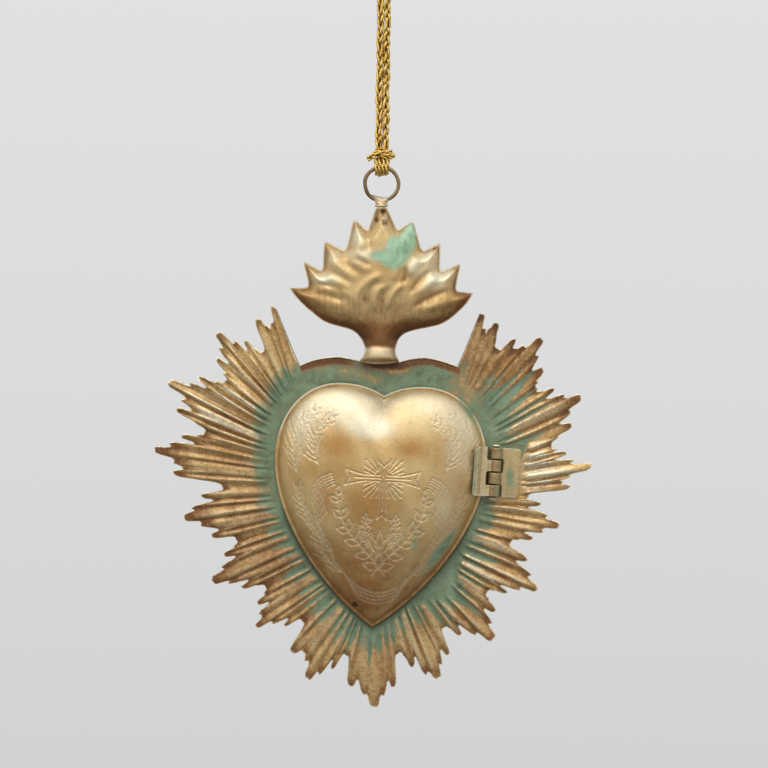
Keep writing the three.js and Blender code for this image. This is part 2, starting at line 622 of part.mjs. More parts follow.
// How far the flame's front stands out: a half-round neck on a bell foot, a full belly, an open tip.
function flameRise(across, up) {
  const aside = Math.abs(2 * across - 1);
  const round = Math.sqrt(Math.max(1 - aside * aside, 0));
  const foot = THREE.MathUtils.lerp(FOOT_DEPTH, NECK_DEPTH, THREE.MathUtils.smoothstep(up, 0, NECK_UP));
  const belly = BELLY_DEPTH * (1 - up ** BELLY_EDGE) ** BELLY_POWER;
  const depth = THREE.MathUtils.lerp(foot, belly, THREE.MathUtils.smoothstep(up, BELLY_FROM, BELLY_FULL));
  const tipRound = Math.max(1 - (aside / TIP_WIDTH) ** 2, 0);
  const tip = TIP_DEPTH * tipRound * THREE.MathUtils.smoothstep(up, TIP_FROM, 1);
  return Math.max(depth * round ** SIDE_POWER, tip);
}

function flameFront() {
  const grid = flameGrid();
  const width = grid[0].length;
  const front = [];
  const rear = [];
  for (const { x, z, across, up } of grid.flat()) {
    const rise = flameRise(across, up);
    front.push([x, FLAME_REAR - FLAME_SHEET - rise, z]);
    rear.push([x, FLAME_REAR - rise, z]);
  }
  const triangles = [];
  for (let row = 0; row < FLAME_ROWS; row += 1) {
    for (let i = 0; i + 1 < width; i += 1) {
      const a = row * width + i;
      triangles.push([a, a + 1, a + width + 1], [a, a + width + 1, a + width]);
    }
  }
  return thickSheet(front, rear, triangles);
}

// The flame's back is flat, with the front's outline.
function flameBack() {
  const grid = flameGrid();
  const width = grid[0].length;
  const rightSide = grid.slice(0, FLAME_ROWS).map((row) => row[width - 1]);
  const leftSide = grid.slice(0, FLAME_ROWS).map((row) => row[0]);
  const outline = [...rightSide, ...grid[FLAME_ROWS].toReversed(), ...leftSide.reverse()];
  const geometry = new THREE.ExtrudeGeometry(outlineShape(outline.map(({ x, z }) => [x, z])), {
    depth: FLAME_BACK_SHEET, bevelEnabled: false,
  });
  geometry.rotateX(Math.PI / 2);
  geometry.translate(0, FLAME_BACK_REAR, 0);
  return geometry;
}

// Ring, ferrule, knot and cord

function ringTorus(wire) {
  const geometry = new THREE.TorusGeometry(RING_RADIUS, wire, WIRE_SIDES, RING_STEPS);
  geometry.rotateX(Math.PI / 2);
  return geometry;
}

function rod(radius, top, bottom, sides) {
  const geometry = new THREE.CylinderGeometry(radius, radius, top - bottom, sides);
  geometry.rotateX(Math.PI / 2);
  geometry.translate(0, 0, (top + bottom) / 2);
  return geometry;
}

function hangingRing() {
  const stem = rod(WIRE_RADIUS, -RING_RADIUS, -RING_RADIUS - STEM_LENGTH, WIRE_SIDES);
  return geometryOf(solidOf(ringTorus(WIRE_RADIUS)).add(solidOf(stem)));
}

function ringFerrule() {
  const bottom = -RING_RADIUS - WIRE_RADIUS - FERRULE_SHOW + SEAM;
  const top = -RING_RADIUS - WIRE_RADIUS + FERRULE_LUG;
  const height = top - bottom;
  const cup = new THREE.CylinderGeometry(FERRULE_TOP_RADIUS, FERRULE_FOOT_RADIUS, height, FERRULE_SIDES);
  cup.rotateX(Math.PI / 2);
  cup.translate(0, 0, (top + bottom) / 2);
  const room = solidOf(ringTorus(WIRE_RADIUS + SEAM));
  const bore = solidOf(rod(WIRE_RADIUS + SEAM, top + CUT_PAST, bottom - CUT_PAST, FERRULE_BORE_SIDES));
  return geometryOf(solidOf(cup).subtract(room).subtract(bore));
}

function cordKnot() {
  const wrapRadius = WIRE_RADIUS + SEAM + CORD_RADIUS;
  const aside = Math.asin(CORD_RADIUS / RING_RADIUS);
  let solid = solidOf(tube(KNOT_BAR, KNOT_RADIUS, CORD_SIDES, KNOT_STEPS));
  for (const side of [-1, 1]) {
    const wrap = new THREE.TorusGeometry(wrapRadius, CORD_RADIUS, CORD_SIDES, WRAP_STEPS);
    wrap.rotateY(Math.PI / 2);
    wrap.translate(0, 0, RING_RADIUS);
    wrap.rotateY(side * aside);
    wrap.translate(0, 0, -RING_RADIUS);
    solid = solid.add(solidOf(wrap));
  }
  return geometryOf(solid);
}

// The whole ex-voto

const exVoto = new THREE.Group();

exVoto.add(piece('cord_loop', tube(CORD_ROUTE, CORD_RADIUS, CORD_SIDES, CORD_STEPS), GOLD_CORD));

const knot = piece('cord_knot', cordKnot(), GOLD_CORD);
knot.position.z = RING_CENTRE + RING_RADIUS;
exVoto.add(knot);

const ring = new THREE.Group();
ring.position.z = RING_CENTRE;
ring.add(piece('hanging_ring', hangingRing(), DARK_BRASS));
ring.add(piece('ring_ferrule', ringFerrule(), PATINA));
exVoto.add(ring);

const flame = new THREE.Group();
flame.position.z = FLAME_FOOT;
flame.add(piece('flame_front', flameFront(), GILT));
flame.add(piece('flame_back', flameBack(), DARK_BRASS));
exVoto.add(flame);

const plate = new THREE.Group();
plate.position.z = HEART_CENTRE;
plate.add(piece('sunburst_plate', sunburstPlate(), PATINA));
exVoto.add(plate);

const heart = new THREE.Group();
heart.applyMatrix4(heartFrame);
heart.add(piece('heart_lid', heartLid(), GILT));
heart.add(piece('locating_band', locatingBand(), PATINA));
plate.add(heart);

const hinge = new THREE.Group();
hinge.applyMatrix4(hingeFrame);
hinge.add(piece('plate_leaf', plateLeaf(), GILT));
hinge.add(piece('lid_leaf', lidLeaf(), GILT));
hinge.add(piece('hinge_pin', hingePin(), COPPER));
heart.add(hinge);

export default exVoto;
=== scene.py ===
import json
import math
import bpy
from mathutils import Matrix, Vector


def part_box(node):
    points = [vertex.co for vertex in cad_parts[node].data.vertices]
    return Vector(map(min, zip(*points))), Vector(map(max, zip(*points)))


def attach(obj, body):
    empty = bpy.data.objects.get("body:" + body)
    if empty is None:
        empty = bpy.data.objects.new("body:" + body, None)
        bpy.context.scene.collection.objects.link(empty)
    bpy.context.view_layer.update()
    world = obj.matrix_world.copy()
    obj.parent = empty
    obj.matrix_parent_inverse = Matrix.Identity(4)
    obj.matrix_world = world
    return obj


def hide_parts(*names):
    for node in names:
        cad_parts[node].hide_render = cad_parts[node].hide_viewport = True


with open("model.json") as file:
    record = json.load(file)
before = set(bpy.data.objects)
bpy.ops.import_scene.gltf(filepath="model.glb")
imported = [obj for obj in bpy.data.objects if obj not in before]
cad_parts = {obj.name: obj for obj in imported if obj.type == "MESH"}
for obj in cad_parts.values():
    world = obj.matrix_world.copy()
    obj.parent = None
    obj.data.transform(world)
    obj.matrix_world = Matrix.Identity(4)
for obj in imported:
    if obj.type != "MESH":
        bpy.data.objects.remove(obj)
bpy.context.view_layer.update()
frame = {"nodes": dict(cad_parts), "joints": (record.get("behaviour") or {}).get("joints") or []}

from types import SimpleNamespace

import bpy
import numpy as np
from mathutils import Matrix, Vector
from mathutils.kdtree import KDTree

# Heart ex-voto: a gilt sheet-metal heart on a plate of corrugated rays, under a hollow flame and on a
# gold cord.
# Sizes are in millimetres, as in the part's source, and MM turns them into metres.

MM = 0.001
SEED = 11

# Places that the frame gives
FLAME_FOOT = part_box("flame_front")[0].z / MM
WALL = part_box("sunburst_plate")[1].y / MM
PIN_PLACE = Vector(frame["joints"][0]["pos_m"]) / MM

# Sheets and seams
SEAM = 0.3
PLATE_SHEET = 0.7
LID_SHEET = 0.6
FLAME_SHEET = 0.6
FLAME_BACK_SHEET = 0.5
PLATE_FRONT = WALL - PLATE_SHEET
LID_REAR = PLATE_FRONT - SEAM
FLAME_REAR = PLATE_FRONT - 2 * SEAM - FLAME_BACK_SHEET

# Cord, knot and ring
CORD_RADIUS = 1.05
WIRE_RADIUS = 0.8
RING_RADIUS = 5.5
STEM_LENGTH = 9
FERRULE_SHOW = 1.6
KNOT_RISE = 4.1
RING_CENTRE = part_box("hanging_ring")[1].z / MM - RING_RADIUS - WIRE_RADIUS
CORD_ROUTE = [
    (-1.05, 0, -60.5), (-1.2, 0.2, -56), (-1.05, 0.3, -50), (-1.25, 0, -42), (-1.05, -0.3, -34),
    (-1.25, 0.2, -26), (-1.1, 0.3, -18), (-1.2, 0, -12.5), (-1.3, 0, -9.4), (-1.85, 0, -7.6),
    (-2.75, 0, -6.3), (-3.85, 0, -4.8), (-4.2, 0, -3.1), (-3.64, 0, -1.05), (-2.1, 0, 0.49),
    (0, 0, 1.05), (2.1, 0, 0.49), (3.64, 0, -1.05), (4.2, 0, -3.1), (3.85, 0, -4.8), (2.75, 0, -6.3),
    (1.85, 0, -7.6), (1.3, 0, -9.4), (1.1, 0, -12.5), (1.25, -0.3, -18), (1.05, -0.2, -26),
    (1.2, 0.3, -34), (1.05, 0, -42), (1.2, -0.3, -50), (1.1, -0.2, -56), (1.1, 0, -60.5),
]
# The turns of the knot's bar, from the middle of the ring's wire: one up to the right, one down, one behind
KNOT_TURNS = [
    [(-4.8, -1.1, KNOT_RISE - 1.5), (-3.3, -1.7, KNOT_RISE - 0.7), (-1.2, -2, KNOT_RISE - 0.1),
     (1.3, -1.9, KNOT_RISE + 0.5), (3.4, -1.2, KNOT_RISE + 0.8)],
    [(-2.7, -1, KNOT_RISE + 0.5), (-1, -1.7, KNOT_RISE + 0.5), (1.2, -1.7, KNOT_RISE - 0.4),
     (3, -1.4, KNOT_RISE - 0.5), (3.9, -0.4, KNOT_RISE - 0.2)],
    [(3.8, 0.1, KNOT_RISE), (2, 1.6, KNOT_RISE - 0.2), (-0.6, 1.8, KNOT_RISE + 0.2),
     (-2.7, 0.9, KNOT_RISE + 0.3)],
]
KNOT_TURN_SIZE = 0.82
# The loops that hang from the knot over the ring: how far aside, and how far each hangs lower
KNOT_LOOPS = [(-1.95, 0), (-0.7, 0.25), (0.62, 0.1), (1.9, 0.05)]
KNOT_LOOP_SIZE = 0.76
# Where the cord's two strands lie against each other, and the painted shadow line between them
STRANDS_MEET = -9.4
STRAND_GAP = 0.35
STRAND_SHADE = 0.4

# Heart lid, in the heart's own frame
HEART_HALF_WIDTH = 35.4
HEART_WIDEST = 9.5
HEART_LOBE_TOP = 34.9
HEART_LOBE_OUT = 14
HEART_CLEFT = 31.2
HEART_TIP = 46
CLEFT_HANDLE = 0.3
CLEFT_RISE = 0.73
LOBE_HANDLE = 0.65
BROW_HANDLE = 0.6
TEMPLE_HANDLE = 0.57
CHEEK_HANDLE = 0.35
CHIN_HANDLE = 0.52
CHIN_RISE = 0.22
HEART_SKEW = 2.2
HEART_ASIDE = 0.5
HEART_BELOW_FOOT = 42.7
DOME_HEIGHT = 12
DOME_POWER = 0.6
LID_RIM = 1
OVAL_INSET = 1.4
OVAL_UNTIL = 0.25
HEART_FROM = 0.95
LID_HOLE = (-6.1, -38.6)
LID_HOLE_RADIUS = 0.85
HEART_CENTRE = FLAME_FOOT - HEART_BELOW_FOOT

# Hinge, in its own frame round the pin
HINGE_TILT = 1.5
HINGE_LENGTH = 16.4
KNUCKLES = 4
KNUCKLE_GAP = 0.35
BARREL_RADIUS = 2.2
BARREL_TO_RIM = 0.6
LEAF_SHEET = 0.7
PLATE_LEAF_WIDTH = 8.5
LID_LEAF_WIDTH = 6.9
LID_LEAF_BEND = 5.2
LID_LEAF_SEAM = 0.45
PIN_RADIUS = 0.9
PIN_HEAD_RADIUS = 1.5
PIN_HEAD = 0.9

# Sunburst plate, in the plate's frame
RIDGE_HEIGHT = 1.4
RIDGES = 5
RIDGE_RISE = 0.1
CREST_POWER = 0.65
SEAT_MARGIN = 0.6
TONGUE_HALF_WIDTH = 4
TONGUE_HEIGHT = 8
RAY_TIPS = [
    (-36.2, 61.1), (-54.1, 51.8), (-70.5, 34.9), (-74.8, 12.2), (-64.5, -10.6), (-54.9, -31.5),
    (-40, -46.7), (-22.4, -63.8), (0, -72.8), (20.9, -62.9), (39.2, -49.7), (53.7, -32.8),
    (60.6, -11.7), (71.3, 8.9), (67.5, 32.2), (53.9, 51.4), (34.5, 59.1),
]
RAY_ROOTS = [
    (-28.7, 36.1), (-34.3, 29.1), (-36.8, 18), (-39.4, 7.3), (-37.8, -6.6), (-29.7, -20.2),
    (-19.8, -32.7), (-10.4, -43.4), (-0.5, -48.9), (11.9, -42.2), (21.2, -32.4), (29, -21.5),
    (33.8, -7.1), (39.4, 3.7), (39.5, 18), (35.4, 30.3), (29.3, 38.9),
]
SIDE_REACHES = [
    (0.92, 0.92), (0.76, 0.79), (0.8, 0.84), (0.75, 0.88), (0.69, 0.77), (0.72, 0.76), (0.76, 0.71),
    (0.87, 0.7), (0.79, 0.79), (0.66, 0.79), (0.67, 0.75), (0.71, 0.75), (0.75, 0.66), (0.86, 0.73),
    (0.82, 0.77), (0.78, 0.82), (0.94, 0.94),
]
NOTCHES = [
    (0.58, 0.54), (0.5, 0.58), (0.53, 0.55), (0.53, 0.42), (0.5, 0.5), (0.48, 0.53), (0.34, 0.47),
    (0.36, 0.42), (0.5, 0.37), (0.49, 0.44), (0.56, 0.51), (0.56, 0.5), (0.49, 0.46), (0.44, 0.58),
    (0.42, 0.6), (0.45, 0.6),
]
LEFT_CUSP = (-27.4, 40.8)
LEFT_CORNER = (-34.7, 60.1)
RIGHT_CUSP = (26.6, 41.3)
RIGHT_CORNER = (33.3, 59.3)
TOP_EDGE_RIGHT = [(21.2, 43.1), (15.8, 44.2), (10.9, 43.8), (6.9, 42.8)]
TOP_EDGE_LEFT = [(-5.8, 42.6), (-9.8, 43.6), (-14.8, 44.2), (-21.5, 43.1)]
LONG_FINGER = [
    (0, 1), (0.032, 0.997), (0.053, 0.982), (0.068, 0.955), (0.078, 0.89), (0.092, 0.845), (0.11, 0.83),
    (0.135, 0.848), (0.155, 0.85), (0.17, 0.83), (0.195, 0.77),
]
SIDE_FINGER = [
    (0.225, -0.11), (0.252, -0.115), (0.262, -0.075), (0.272, -0.032), (0.287, -0.008), (0.315, 0),
    (0.347, -0.006), (0.366, -0.03), (0.381, -0.075), (0.392, -0.15),
]
NOTCH_EDGE = [(0.42, 0.07), (0.438, 0.018), (0.465, 0), (0.5, 0)]
# For each ray: how deep its corrugation is, how brown it is, how flat its tips are and how far they curl
# forwards
RAY_STRENGTH = [
    0.5, 0.85, 1.35, 0.45, 0.75, 0.7, 0.65, 0.65, 0.5, 0.75, 0.95, 1.2, 0.8, 1.1, 0.9, 0.4, 0.15,
]
RAY_BROWN = [-0.2, -0.1, -0.25, 0.15, 0.15, 0.2, 0.1, 0, 0, 0.05, 0, -0.1, -0.1, -0.5, -0.05, 0.15, 0.15]
RAY_FLAT_TIPS = [0.6, 0.7, 0.35, 0.95, 0.8, 0.75, 0.8, 0.8, 0.95, 0.7, 0.5, 0.4, 0.9, 0.6, 0.7, 0.8, 0.9]
RAY_CURL = [0.5, 0.9, 1.1, 0.3, 0.6, 0.8, 0.5, 0.9, 0.4, 0.7, 0.9, 0.6, 1, 0.5, 0.8, 0.4, 0.6]
# How far from the lid's edge the ridges of each ray start
RIDGE_FROM = [4, 4, 3.5, 2, 2.5, 1, 0.6, 0.6, 2, 0.6, 7.5, 2, 0.8, 0.8, 3.5, 5, 5]
# Places on the plate where green is worn through to brown, painted highlights and green ones: the middle,
# the half sizes and how strong
PLATE_BROWNS = [
    (6, 40.6, 4.5, 2.2, 0.9), (-1, 36.5, 2.5, 1.6, 0.5), (-17, 40, 7, 1.6, 0.4), (32, 36, 5, 6, 0.42),
    (-7, 38, 9, 3.2, 0.32),
]
PLATE_PAINTED_HIGHLIGHTS = [(53, 7, 11, 8, 0.5), (-55, 28, 12, 7, 0.2)]
PLATE_GREENS = [
    (23.5, -33.5, 5, 4.5, 0.8), (11.5, -38.5, 2.5, 4, 0.35), (4, -46, 3.5, 3.5, 0.4),
    (-2.5, -51, 3.5, 4.5, 0.6), (-10.5, -47, 4, 4, 0.5), (-17, -39, 3, 5, 0.4),
]
# How far verdigris reaches from the heart, by the direction in degrees from its right-hand side
VERDIGRIS_REACH = [
    (-180, 7), (-160, 6), (-140, 6), (-125, 8), (-110, 9), (-95, 9), (-80, 8), (-68, 8), (-56, 13),
    (-46, 13), (-36, 10), (-24, 10), (-12, 7), (5, 2), (18, 9), (30, 18), (42, 17), (52, 9), (62, 8),
    (75, 8.5), (90, 9), (105, 9), (120, 10), (135, 10), (150, 9), (165, 8), (180, 7),
]
# Between these places along the rays the green runs far out in the valleys. Past the second it is patchy.
VALLEY_GREEN = (13.2, 15.2)

# Flame, in its own frame
FLAME_HEIGHT = 51.3
TIP_HALF_WIDTH = 1.9
FLAME_TEETH_LEFT = [
    (-30.4, 24.1), (-23.8, 24.5), (-25.4, 32.5), (-19.3, 29.9), (-18.6, 39.4), (-11.7, 36.6),
    (-9.1, 46.8), (-4.4, 43.6),
]
FLAME_TEETH_RIGHT = [
    (5.4, 43.9), (10.6, 46.4), (13.8, 36.7), (19.6, 39.5), (19.8, 30.1), (26.3, 32.5), (25, 23.9),
    (31.1, 23.2),
]
FLAME_SIDE_LEFT = [(-6.6, 0), (-5, 4.4), (-8.6, 9.9), (-18.6, 13.2), (-26.8, 19.7), (-30.4, 24.1)]
FLAME_SIDE_RIGHT = [(6.6, 0), (5.4, 4.4), (8.6, 9.6), (21, 13), (28, 18.7), (31.1, 23.2)]
FOOT_DEPTH = 5.6
NECK_DEPTH = 4.2
BELLY_DEPTH = 6.4
TIP_DEPTH = 2.6
NECK_UP = 0.25
BELLY_FROM = 0.2
BELLY_FULL = 0.6
BELLY_EDGE = 4
SIDE_POWER = 0.8
TIP_FROM = 0.7
TIP_WIDTH = 0.2
# The chased tongues and grooves of the flame: how high, how wide, and the line that each follows
FLAME_STROKES = [
    # Tongues on the left, from the top down, with the grooves under them
    (0.6, 2.1, [(-8.6, 45), (-7.6, 40.5), (-6, 36.5)]),
    (-0.6, 1.0, [(-4.4, 43.4), (-4, 39.5), (-3.2, 36.5)]),
    (0.8, 1.5, [(-17.6, 38), (-12.4, 36), (-7.5, 35), (-2.8, 32.8)]),
    (-0.7, 0.8, [(-9.8, 34.4), (-6.4, 33.3), (-3.4, 31.8)]),
    (0.7, 1.1, [(-10.4, 33.6), (-7.1, 31.7), (-4.8, 30.4), (-2.4, 31.3)]),
    (-0.5, 0.8, [(-13.5, 33.6), (-10, 31.2), (-6.6, 29)]),
    (0.7, 1.2, [(-18, 34.5), (-14.1, 31.4), (-10.1, 28.6), (-7.2, 26.3)]),
    (-0.7, 0.9, [(-18.8, 30.2), (-13.6, 27.8), (-9.4, 25.2)]),
    (0.9, 1.5, [(-24.8, 31), (-20.3, 28), (-15.1, 26.6), (-9.8, 24)]),
    (-0.7, 0.8, [(-22.8, 25.6), (-17, 24.7), (-11.6, 22.8)]),
    (0.6, 1.1, [(-20, 24.2), (-14.1, 23.4), (-9.2, 21.1)]),
    (-0.6, 0.8, [(-23.6, 22.8), (-17.5, 21.6), (-11.4, 19.6)]),
    (0.8, 1.7, [(-28.5, 23.6), (-24, 20.8), (-18, 19.2), (-10.5, 17.6)]),
    # The curls in the middle
    (0.9, 1.1, [(1.6, 29), (-2.8, 27.3), (-6.1, 24.5), (-7.8, 21), (-7.2, 16.5)]),
    (-0.7, 0.9, [(0.6, 26.9), (-2.5, 24.8), (-4.5, 21.6), (-4.6, 17.2)]),
    (0.8, 0.9, [(2.2, 25.6), (-0.5, 23.2), (-1.8, 20), (-1.3, 16)]),
    (-0.5, 0.8, [(3.4, 25), (1.2, 21.8), (0.5, 17.8)]),
    (0.8, 1.0, [(8.4, 26.4), (5.5, 23.8), (3.3, 20.4), (2.7, 16.8)]),
    (0.5, 1.1, [(6.6, 33), (5.2, 29.6), (4, 26.4)]),
    (-0.9, 0.8, [(7.6, 31.4), (8.3, 28.4), (6.8, 25.4)]),
    # Tongues on the right
    (0.6, 2.0, [(9.8, 45), (8.2, 40.5), (6.4, 36.5)]),
    (-0.6, 0.9, [(5.4, 43.6), (4.8, 40), (3.4, 36.6)]),
    (0.8, 1.7, [(18.6, 37.8), (14.5, 34.6), (11, 31.6), (9.4, 27.4)]),
    (-0.7, 1.0, [(20.2, 31), (16, 29.6), (12, 25.8), (9, 21.6)]),
    (1.0, 1.7, [(25.4, 31), (20, 28.2), (15.4, 25.2), (10.8, 20.8)]),
    (-0.7, 0.9, [(25, 24.4), (19.8, 22.8), (14.8, 20.4), (10.2, 17.6)]),
    (0.8, 1.5, [(28.8, 22.4), (23.8, 20.7), (18.8, 18.8), (12.4, 16.6)]),
    (-0.5, 0.8, [(25, 19), (20.4, 17.4), (15, 15.6)]),
    # The dents at the tip and on the third tooth of the right
    (0.7, 0.8, [(0, 47.4), (2.4, 47.6)]),
    (-0.9, 0.7, [(0, 45.7), (2.6, 46)]),
    (-0.8, 0.7, [(-2.2, 47), (-0.8, 46.7)]),
    (-0.7, 0.8, [(-0.2, 49.9), (1.4, 49.7)]),
    (-0.9, 0.9, [(17.2, 37.9), (18.3, 37.8)]),
]

# Counts of the fine meshes
PLATE_STEPS = 90        # columns on each ray
PLATE_ROWS_IN = 24
PLATE_ROWS_OUT = 34
LID_CURVE_STEPS = 132   # columns on each of the outline's six curves
LID_ROWS = 190
FLAME_STEPS = 9         # columns on each piece of the flame's edge
FLAME_ROWS = 130

rng = np.random.default_rng(SEED)


# Small helpers

def srgb(red, green, blue):
    """A colour as it looks on screen, from 0 to 255, as the linear colour that shaders take."""
    def linear(level):
        level /= 255
        return level / 12.92 if level <= 0.04045 else ((level + 0.055) / 1.055) ** 2.4
    return (linear(red), linear(green), linear(blue), 1)


def smoothstep(value, low, high):
    """From 0 at low to 1 at high, with a soft start and end."""
    share = np.clip((value - low) / (high - low), 0, 1)
    return share * share * (3 - 2 * share)


def hump(value, width):
    """1 where the value is 0, falling softly to both sides."""
    return np.exp(-(value / width) ** 2)


def mix(a, b, share):
    return a + (b - a) * share


def unit(vectors):
    return vectors / np.linalg.norm(vectors, axis=-1, keepdims=True)


def turns(count):
    """Angles evenly round a full turn."""
    return np.linspace(0, 2 * math.pi, count, endpoint=False)


def spline(points, shares):
    """Points on the smooth curve through these points, at shares of the way along its list."""
    points = np.asarray(points, float)
    last = len(points) - 1
    place = np.asarray(shares, float) * last
    index = np.minimum(place.astype(int), last)
    t = (place - index)[:, None]
    before = points[np.maximum(index - 1, 0)]
    start = points[index]
    end = points[np.minimum(index + 1, last)]
    after = points[np.minimum(index + 2, last)]
    leave = (end - before) / 2
    arrive = (after - start) / 2
    cubic = 2 * start - 2 * end + leave + arrive
    square = -3 * start + 3 * end - 2 * leave - arrive
    return ((cubic * t + square) * t + leave) * t + start


def lengths_along(points):
    steps = np.linalg.norm(np.diff(points, axis=0), axis=1)
    return np.concatenate([[0], np.cumsum(steps)])


def even(points, count):
    """The line again, with points evenly spaced."""
    along = lengths_along(points)
    at = np.linspace(0, along[-1], count)
    return np.stack([np.interp(at, along, points[:, k]) for k in range(points.shape[1])], axis=1)


WANDER_WAVES = 4
WANDER_STEP = 0.63       # how much quicker each wave is than the one before
WANDER_SIZE = 2.4        # about what the waves add up to


def wander(values, period, seed):
    """A smooth wavering between about -1 and 1."""
    phases = np.random.default_rng(seed).uniform(0, 2 * math.pi, WANDER_WAVES)
    total = np.zeros_like(values, dtype=float)
    for i, phase in enumerate(phases):
        total += np.sin(2 * math.pi * values * (1 + WANDER_STEP * i) / period + phase)
    return total / WANDER_SIZE


def ovals(x, z, places):
    """Soft oval patches, added up. Each has its middle, its half sizes and how strong it is."""
    total = np.zeros_like(x)
    for middle_x, middle_z, wide, high, strength in places:
        total += strength * np.exp(-((x - middle_x) / wide) ** 2 - ((z - middle_z) / high) ** 2)
    return total


def nearest(x, z, points):
    """For each place, the number of the nearest of these points, and how far away it is."""
    tree = KDTree(len(points))
    for number, (point_x, point_z) in enumerate(points):
        tree.insert((point_x, point_z, 0), number)
    tree.balance()
    found = [tree.find((at_x, at_z, 0)) for at_x, at_z in zip(x.ravel(), z.ravel())]
    numbers = np.array([number for _, number, _ in found])
    return numbers.reshape(x.shape), np.array([away for _, _, away in found]).reshape(x.shape)


# Frames

def placed(points, matrix):
    """Points of a local frame in the row frame."""
    matrix = np.array(matrix)
    return np.asarray(points) @ matrix[:3, :3].T + matrix[:3, 3]


def leaning(degrees, x, y, z):
    return Matrix.Translation((x, y, z)) @ Matrix.Rotation(math.radians(degrees), 4, "Y")


heart_frame = leaning(HEART_SKEW, HEART_ASIDE, 0, HEART_CENTRE)
hinge_frame = leaning(HEART_SKEW + HINGE_TILT, *PIN_PLACE)


def seen_from(matrix, x, z):
    """Where points of the plate's frame lie across and up in another frame."""
    points = np.stack([x, np.zeros_like(x), z + HEART_CENTRE], axis=-1)
    there = placed(points, matrix.inverted())
    return there[..., 0], there[..., 2]


# Meshes

def link(name, data):
    """A new object in the scene."""
    made = bpy.data.objects.new(name, data)
    bpy.context.scene.collection.objects.link(made)
    return made


def new_mesh(name, points, faces, material):
    """A mesh from points in millimetres."""
    mesh = bpy.data.meshes.new(name)
    mesh.from_pydata((np.asarray(points) * MM).tolist(), [], faces)
    mesh.materials.append(material)
    return mesh


def make_piece(name, points, faces, material, body, stands_for, marks=None, sharp=35):
    """A piece with its painted marks, riding on a body. Edges of more than sharp degrees stay crisp."""
    mesh = new_mesh(name, points, faces, material)
    for mark, values in (marks or {}).items():
        layer = mesh.attributes.new(mark, "FLOAT", "POINT")
        layer.data.foreach_set("value", np.asarray(values, np.float32))
    mesh.shade_smooth()
    mesh.set_sharp_from_angle(angle=math.radians(sharp))
    piece = link(name, mesh)
    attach(piece, body)
    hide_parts(*stands_for)
    return piece


class Shells:
    """Several closed shells that make one piece."""

    def __init__(self):
        self.points = []
        self.faces = []

    def add(self, points, faces):
        first = len(self.points)
        self.points += [tuple(point) for point in points]
        self.faces += [tuple(first + i for i in face) for face in faces]


def grid_faces(columns, rows, first=0, closed=False, turned=False):
    """Quads between neighbouring columns of points that are numbered column by column."""
    faces = []
    for i in range(columns if closed else columns - 1):
        a = first + i * rows
        b = first + (i + 1) % columns * rows
        for row in range(rows - 1):
            quad = (a + row, b + row, b + row + 1, a + row + 1)
            faces.append(quad[::-1] if turned else quad)
    return faces


def grid_rim(columns, rows):
    """The numbers of a grid's outer points, in order round it."""
    rim = [i * rows for i in range(columns)]
    rim += [(columns - 1) * rows + row for row in range(1, rows)]
    rim += [i * rows + rows - 1 for i in range(columns - 2, -1, -1)]
    return rim + list(range(rows - 2, 0, -1))


def ring_faces(rings, sides, first=0, closed=False, turned=False):
    """Quads between neighbouring rings of points that are numbered ring by ring."""
    faces = []
    for i in range(rings if closed else rings - 1):
        a = first + i * sides
        b = first + (i + 1) % rings * sides
        for k in range(sides):
            after = (k + 1) % sides
            quad = (a + k, a + after, b + after, b + k)
            faces.append((quad[0], *quad[:0:-1]) if turned else quad)
    return faces


def capped_faces(rings, sides):
    """The faces between rings of points, with a cap on the first and the last ring."""
    last = (rings - 1) * sides
    caps = [tuple(range(sides))[::-1], tuple(range(last, last + sides))]
    return ring_faces(rings, sides) + caps


def lathe_points(profile, sides):
    """Rings of points from a profile of radius and height."""
    return [(r * math.cos(t), r * math.sin(t), h) for r, h in profile for t in turns(sides)]


def round_sheet(front, rear, thin):
    """A closed sheet from columns that run outwards from a middle point, anticlockwise to the viewer.
    The rear has one column for every few of the front's."""
    columns, rows = front.shape[:2]
    rear = rear[::thin]
    rear_first = columns * rows
    points = [*front.reshape(-1, 3), *rear.reshape(-1, 3)]
    faces = grid_faces(columns, rows, closed=True, turned=True)
    faces += grid_faces(len(rear), rows, rear_first, closed=True)
    front_middle = len(points)
    rear_middle = front_middle + 1
    points += [front[:, 0].mean(axis=0), rear[:, 0].mean(axis=0)]
    for i in range(columns):
        faces.append((front_middle, i * rows, (i + 1) % columns * rows))
    for j in range(len(rear)):
        a = rear_first + j * rows
        b = rear_first + (j + 1) % len(rear) * rows
        faces.append((rear_middle, b, a))
        outer = [(j * thin + k) % columns * rows + rows - 1 for k in range(thin + 1)]
        faces.append((*outer, b + rows - 1, a + rows - 1))
    return np.array(points), faces


def sheet_marks(marks, behind, thin):
    """Marks for the points of a round sheet: a grid of values in front, and one value behind."""
    made = {}
    for mark, values in marks.items():
        rear = np.full(values[::thin].size, behind[mark])
        made[mark] = np.concatenate([values.ravel(), rear, [values[:, 0].mean(), behind[mark]]])
    return made


# Shader helpers

def plug(tree, socket, value):
    """Links another node's output to a socket, or sets the socket to a value."""
    if isinstance(value, bpy.types.NodeSocket):
        tree.links.new(value, socket)
    else:
        socket.default_value = value


def feed(tree, made, **inputs):
    """Gives a node its inputs, which are values or other nodes' outputs."""
    for name, value in inputs.items():
        plug(tree, made.inputs[name.replace("_", " ")], value)


def node(tree, kind, settings=None, **inputs):
    """A node with its settings and inputs."""
    made = tree.nodes.new(kind)
    for name, value in (settings or {}).items():
        setattr(made, name, value)
    feed(tree, made, **inputs)
    return made


def maths(tree, operation, *values, clamp=False):
    made = node(tree, "ShaderNodeMath", {"operation": operation, "use_clamp": clamp})
    for socket, value in zip(made.inputs, values):
        plug(tree, socket, value)
    return made.outputs[0]


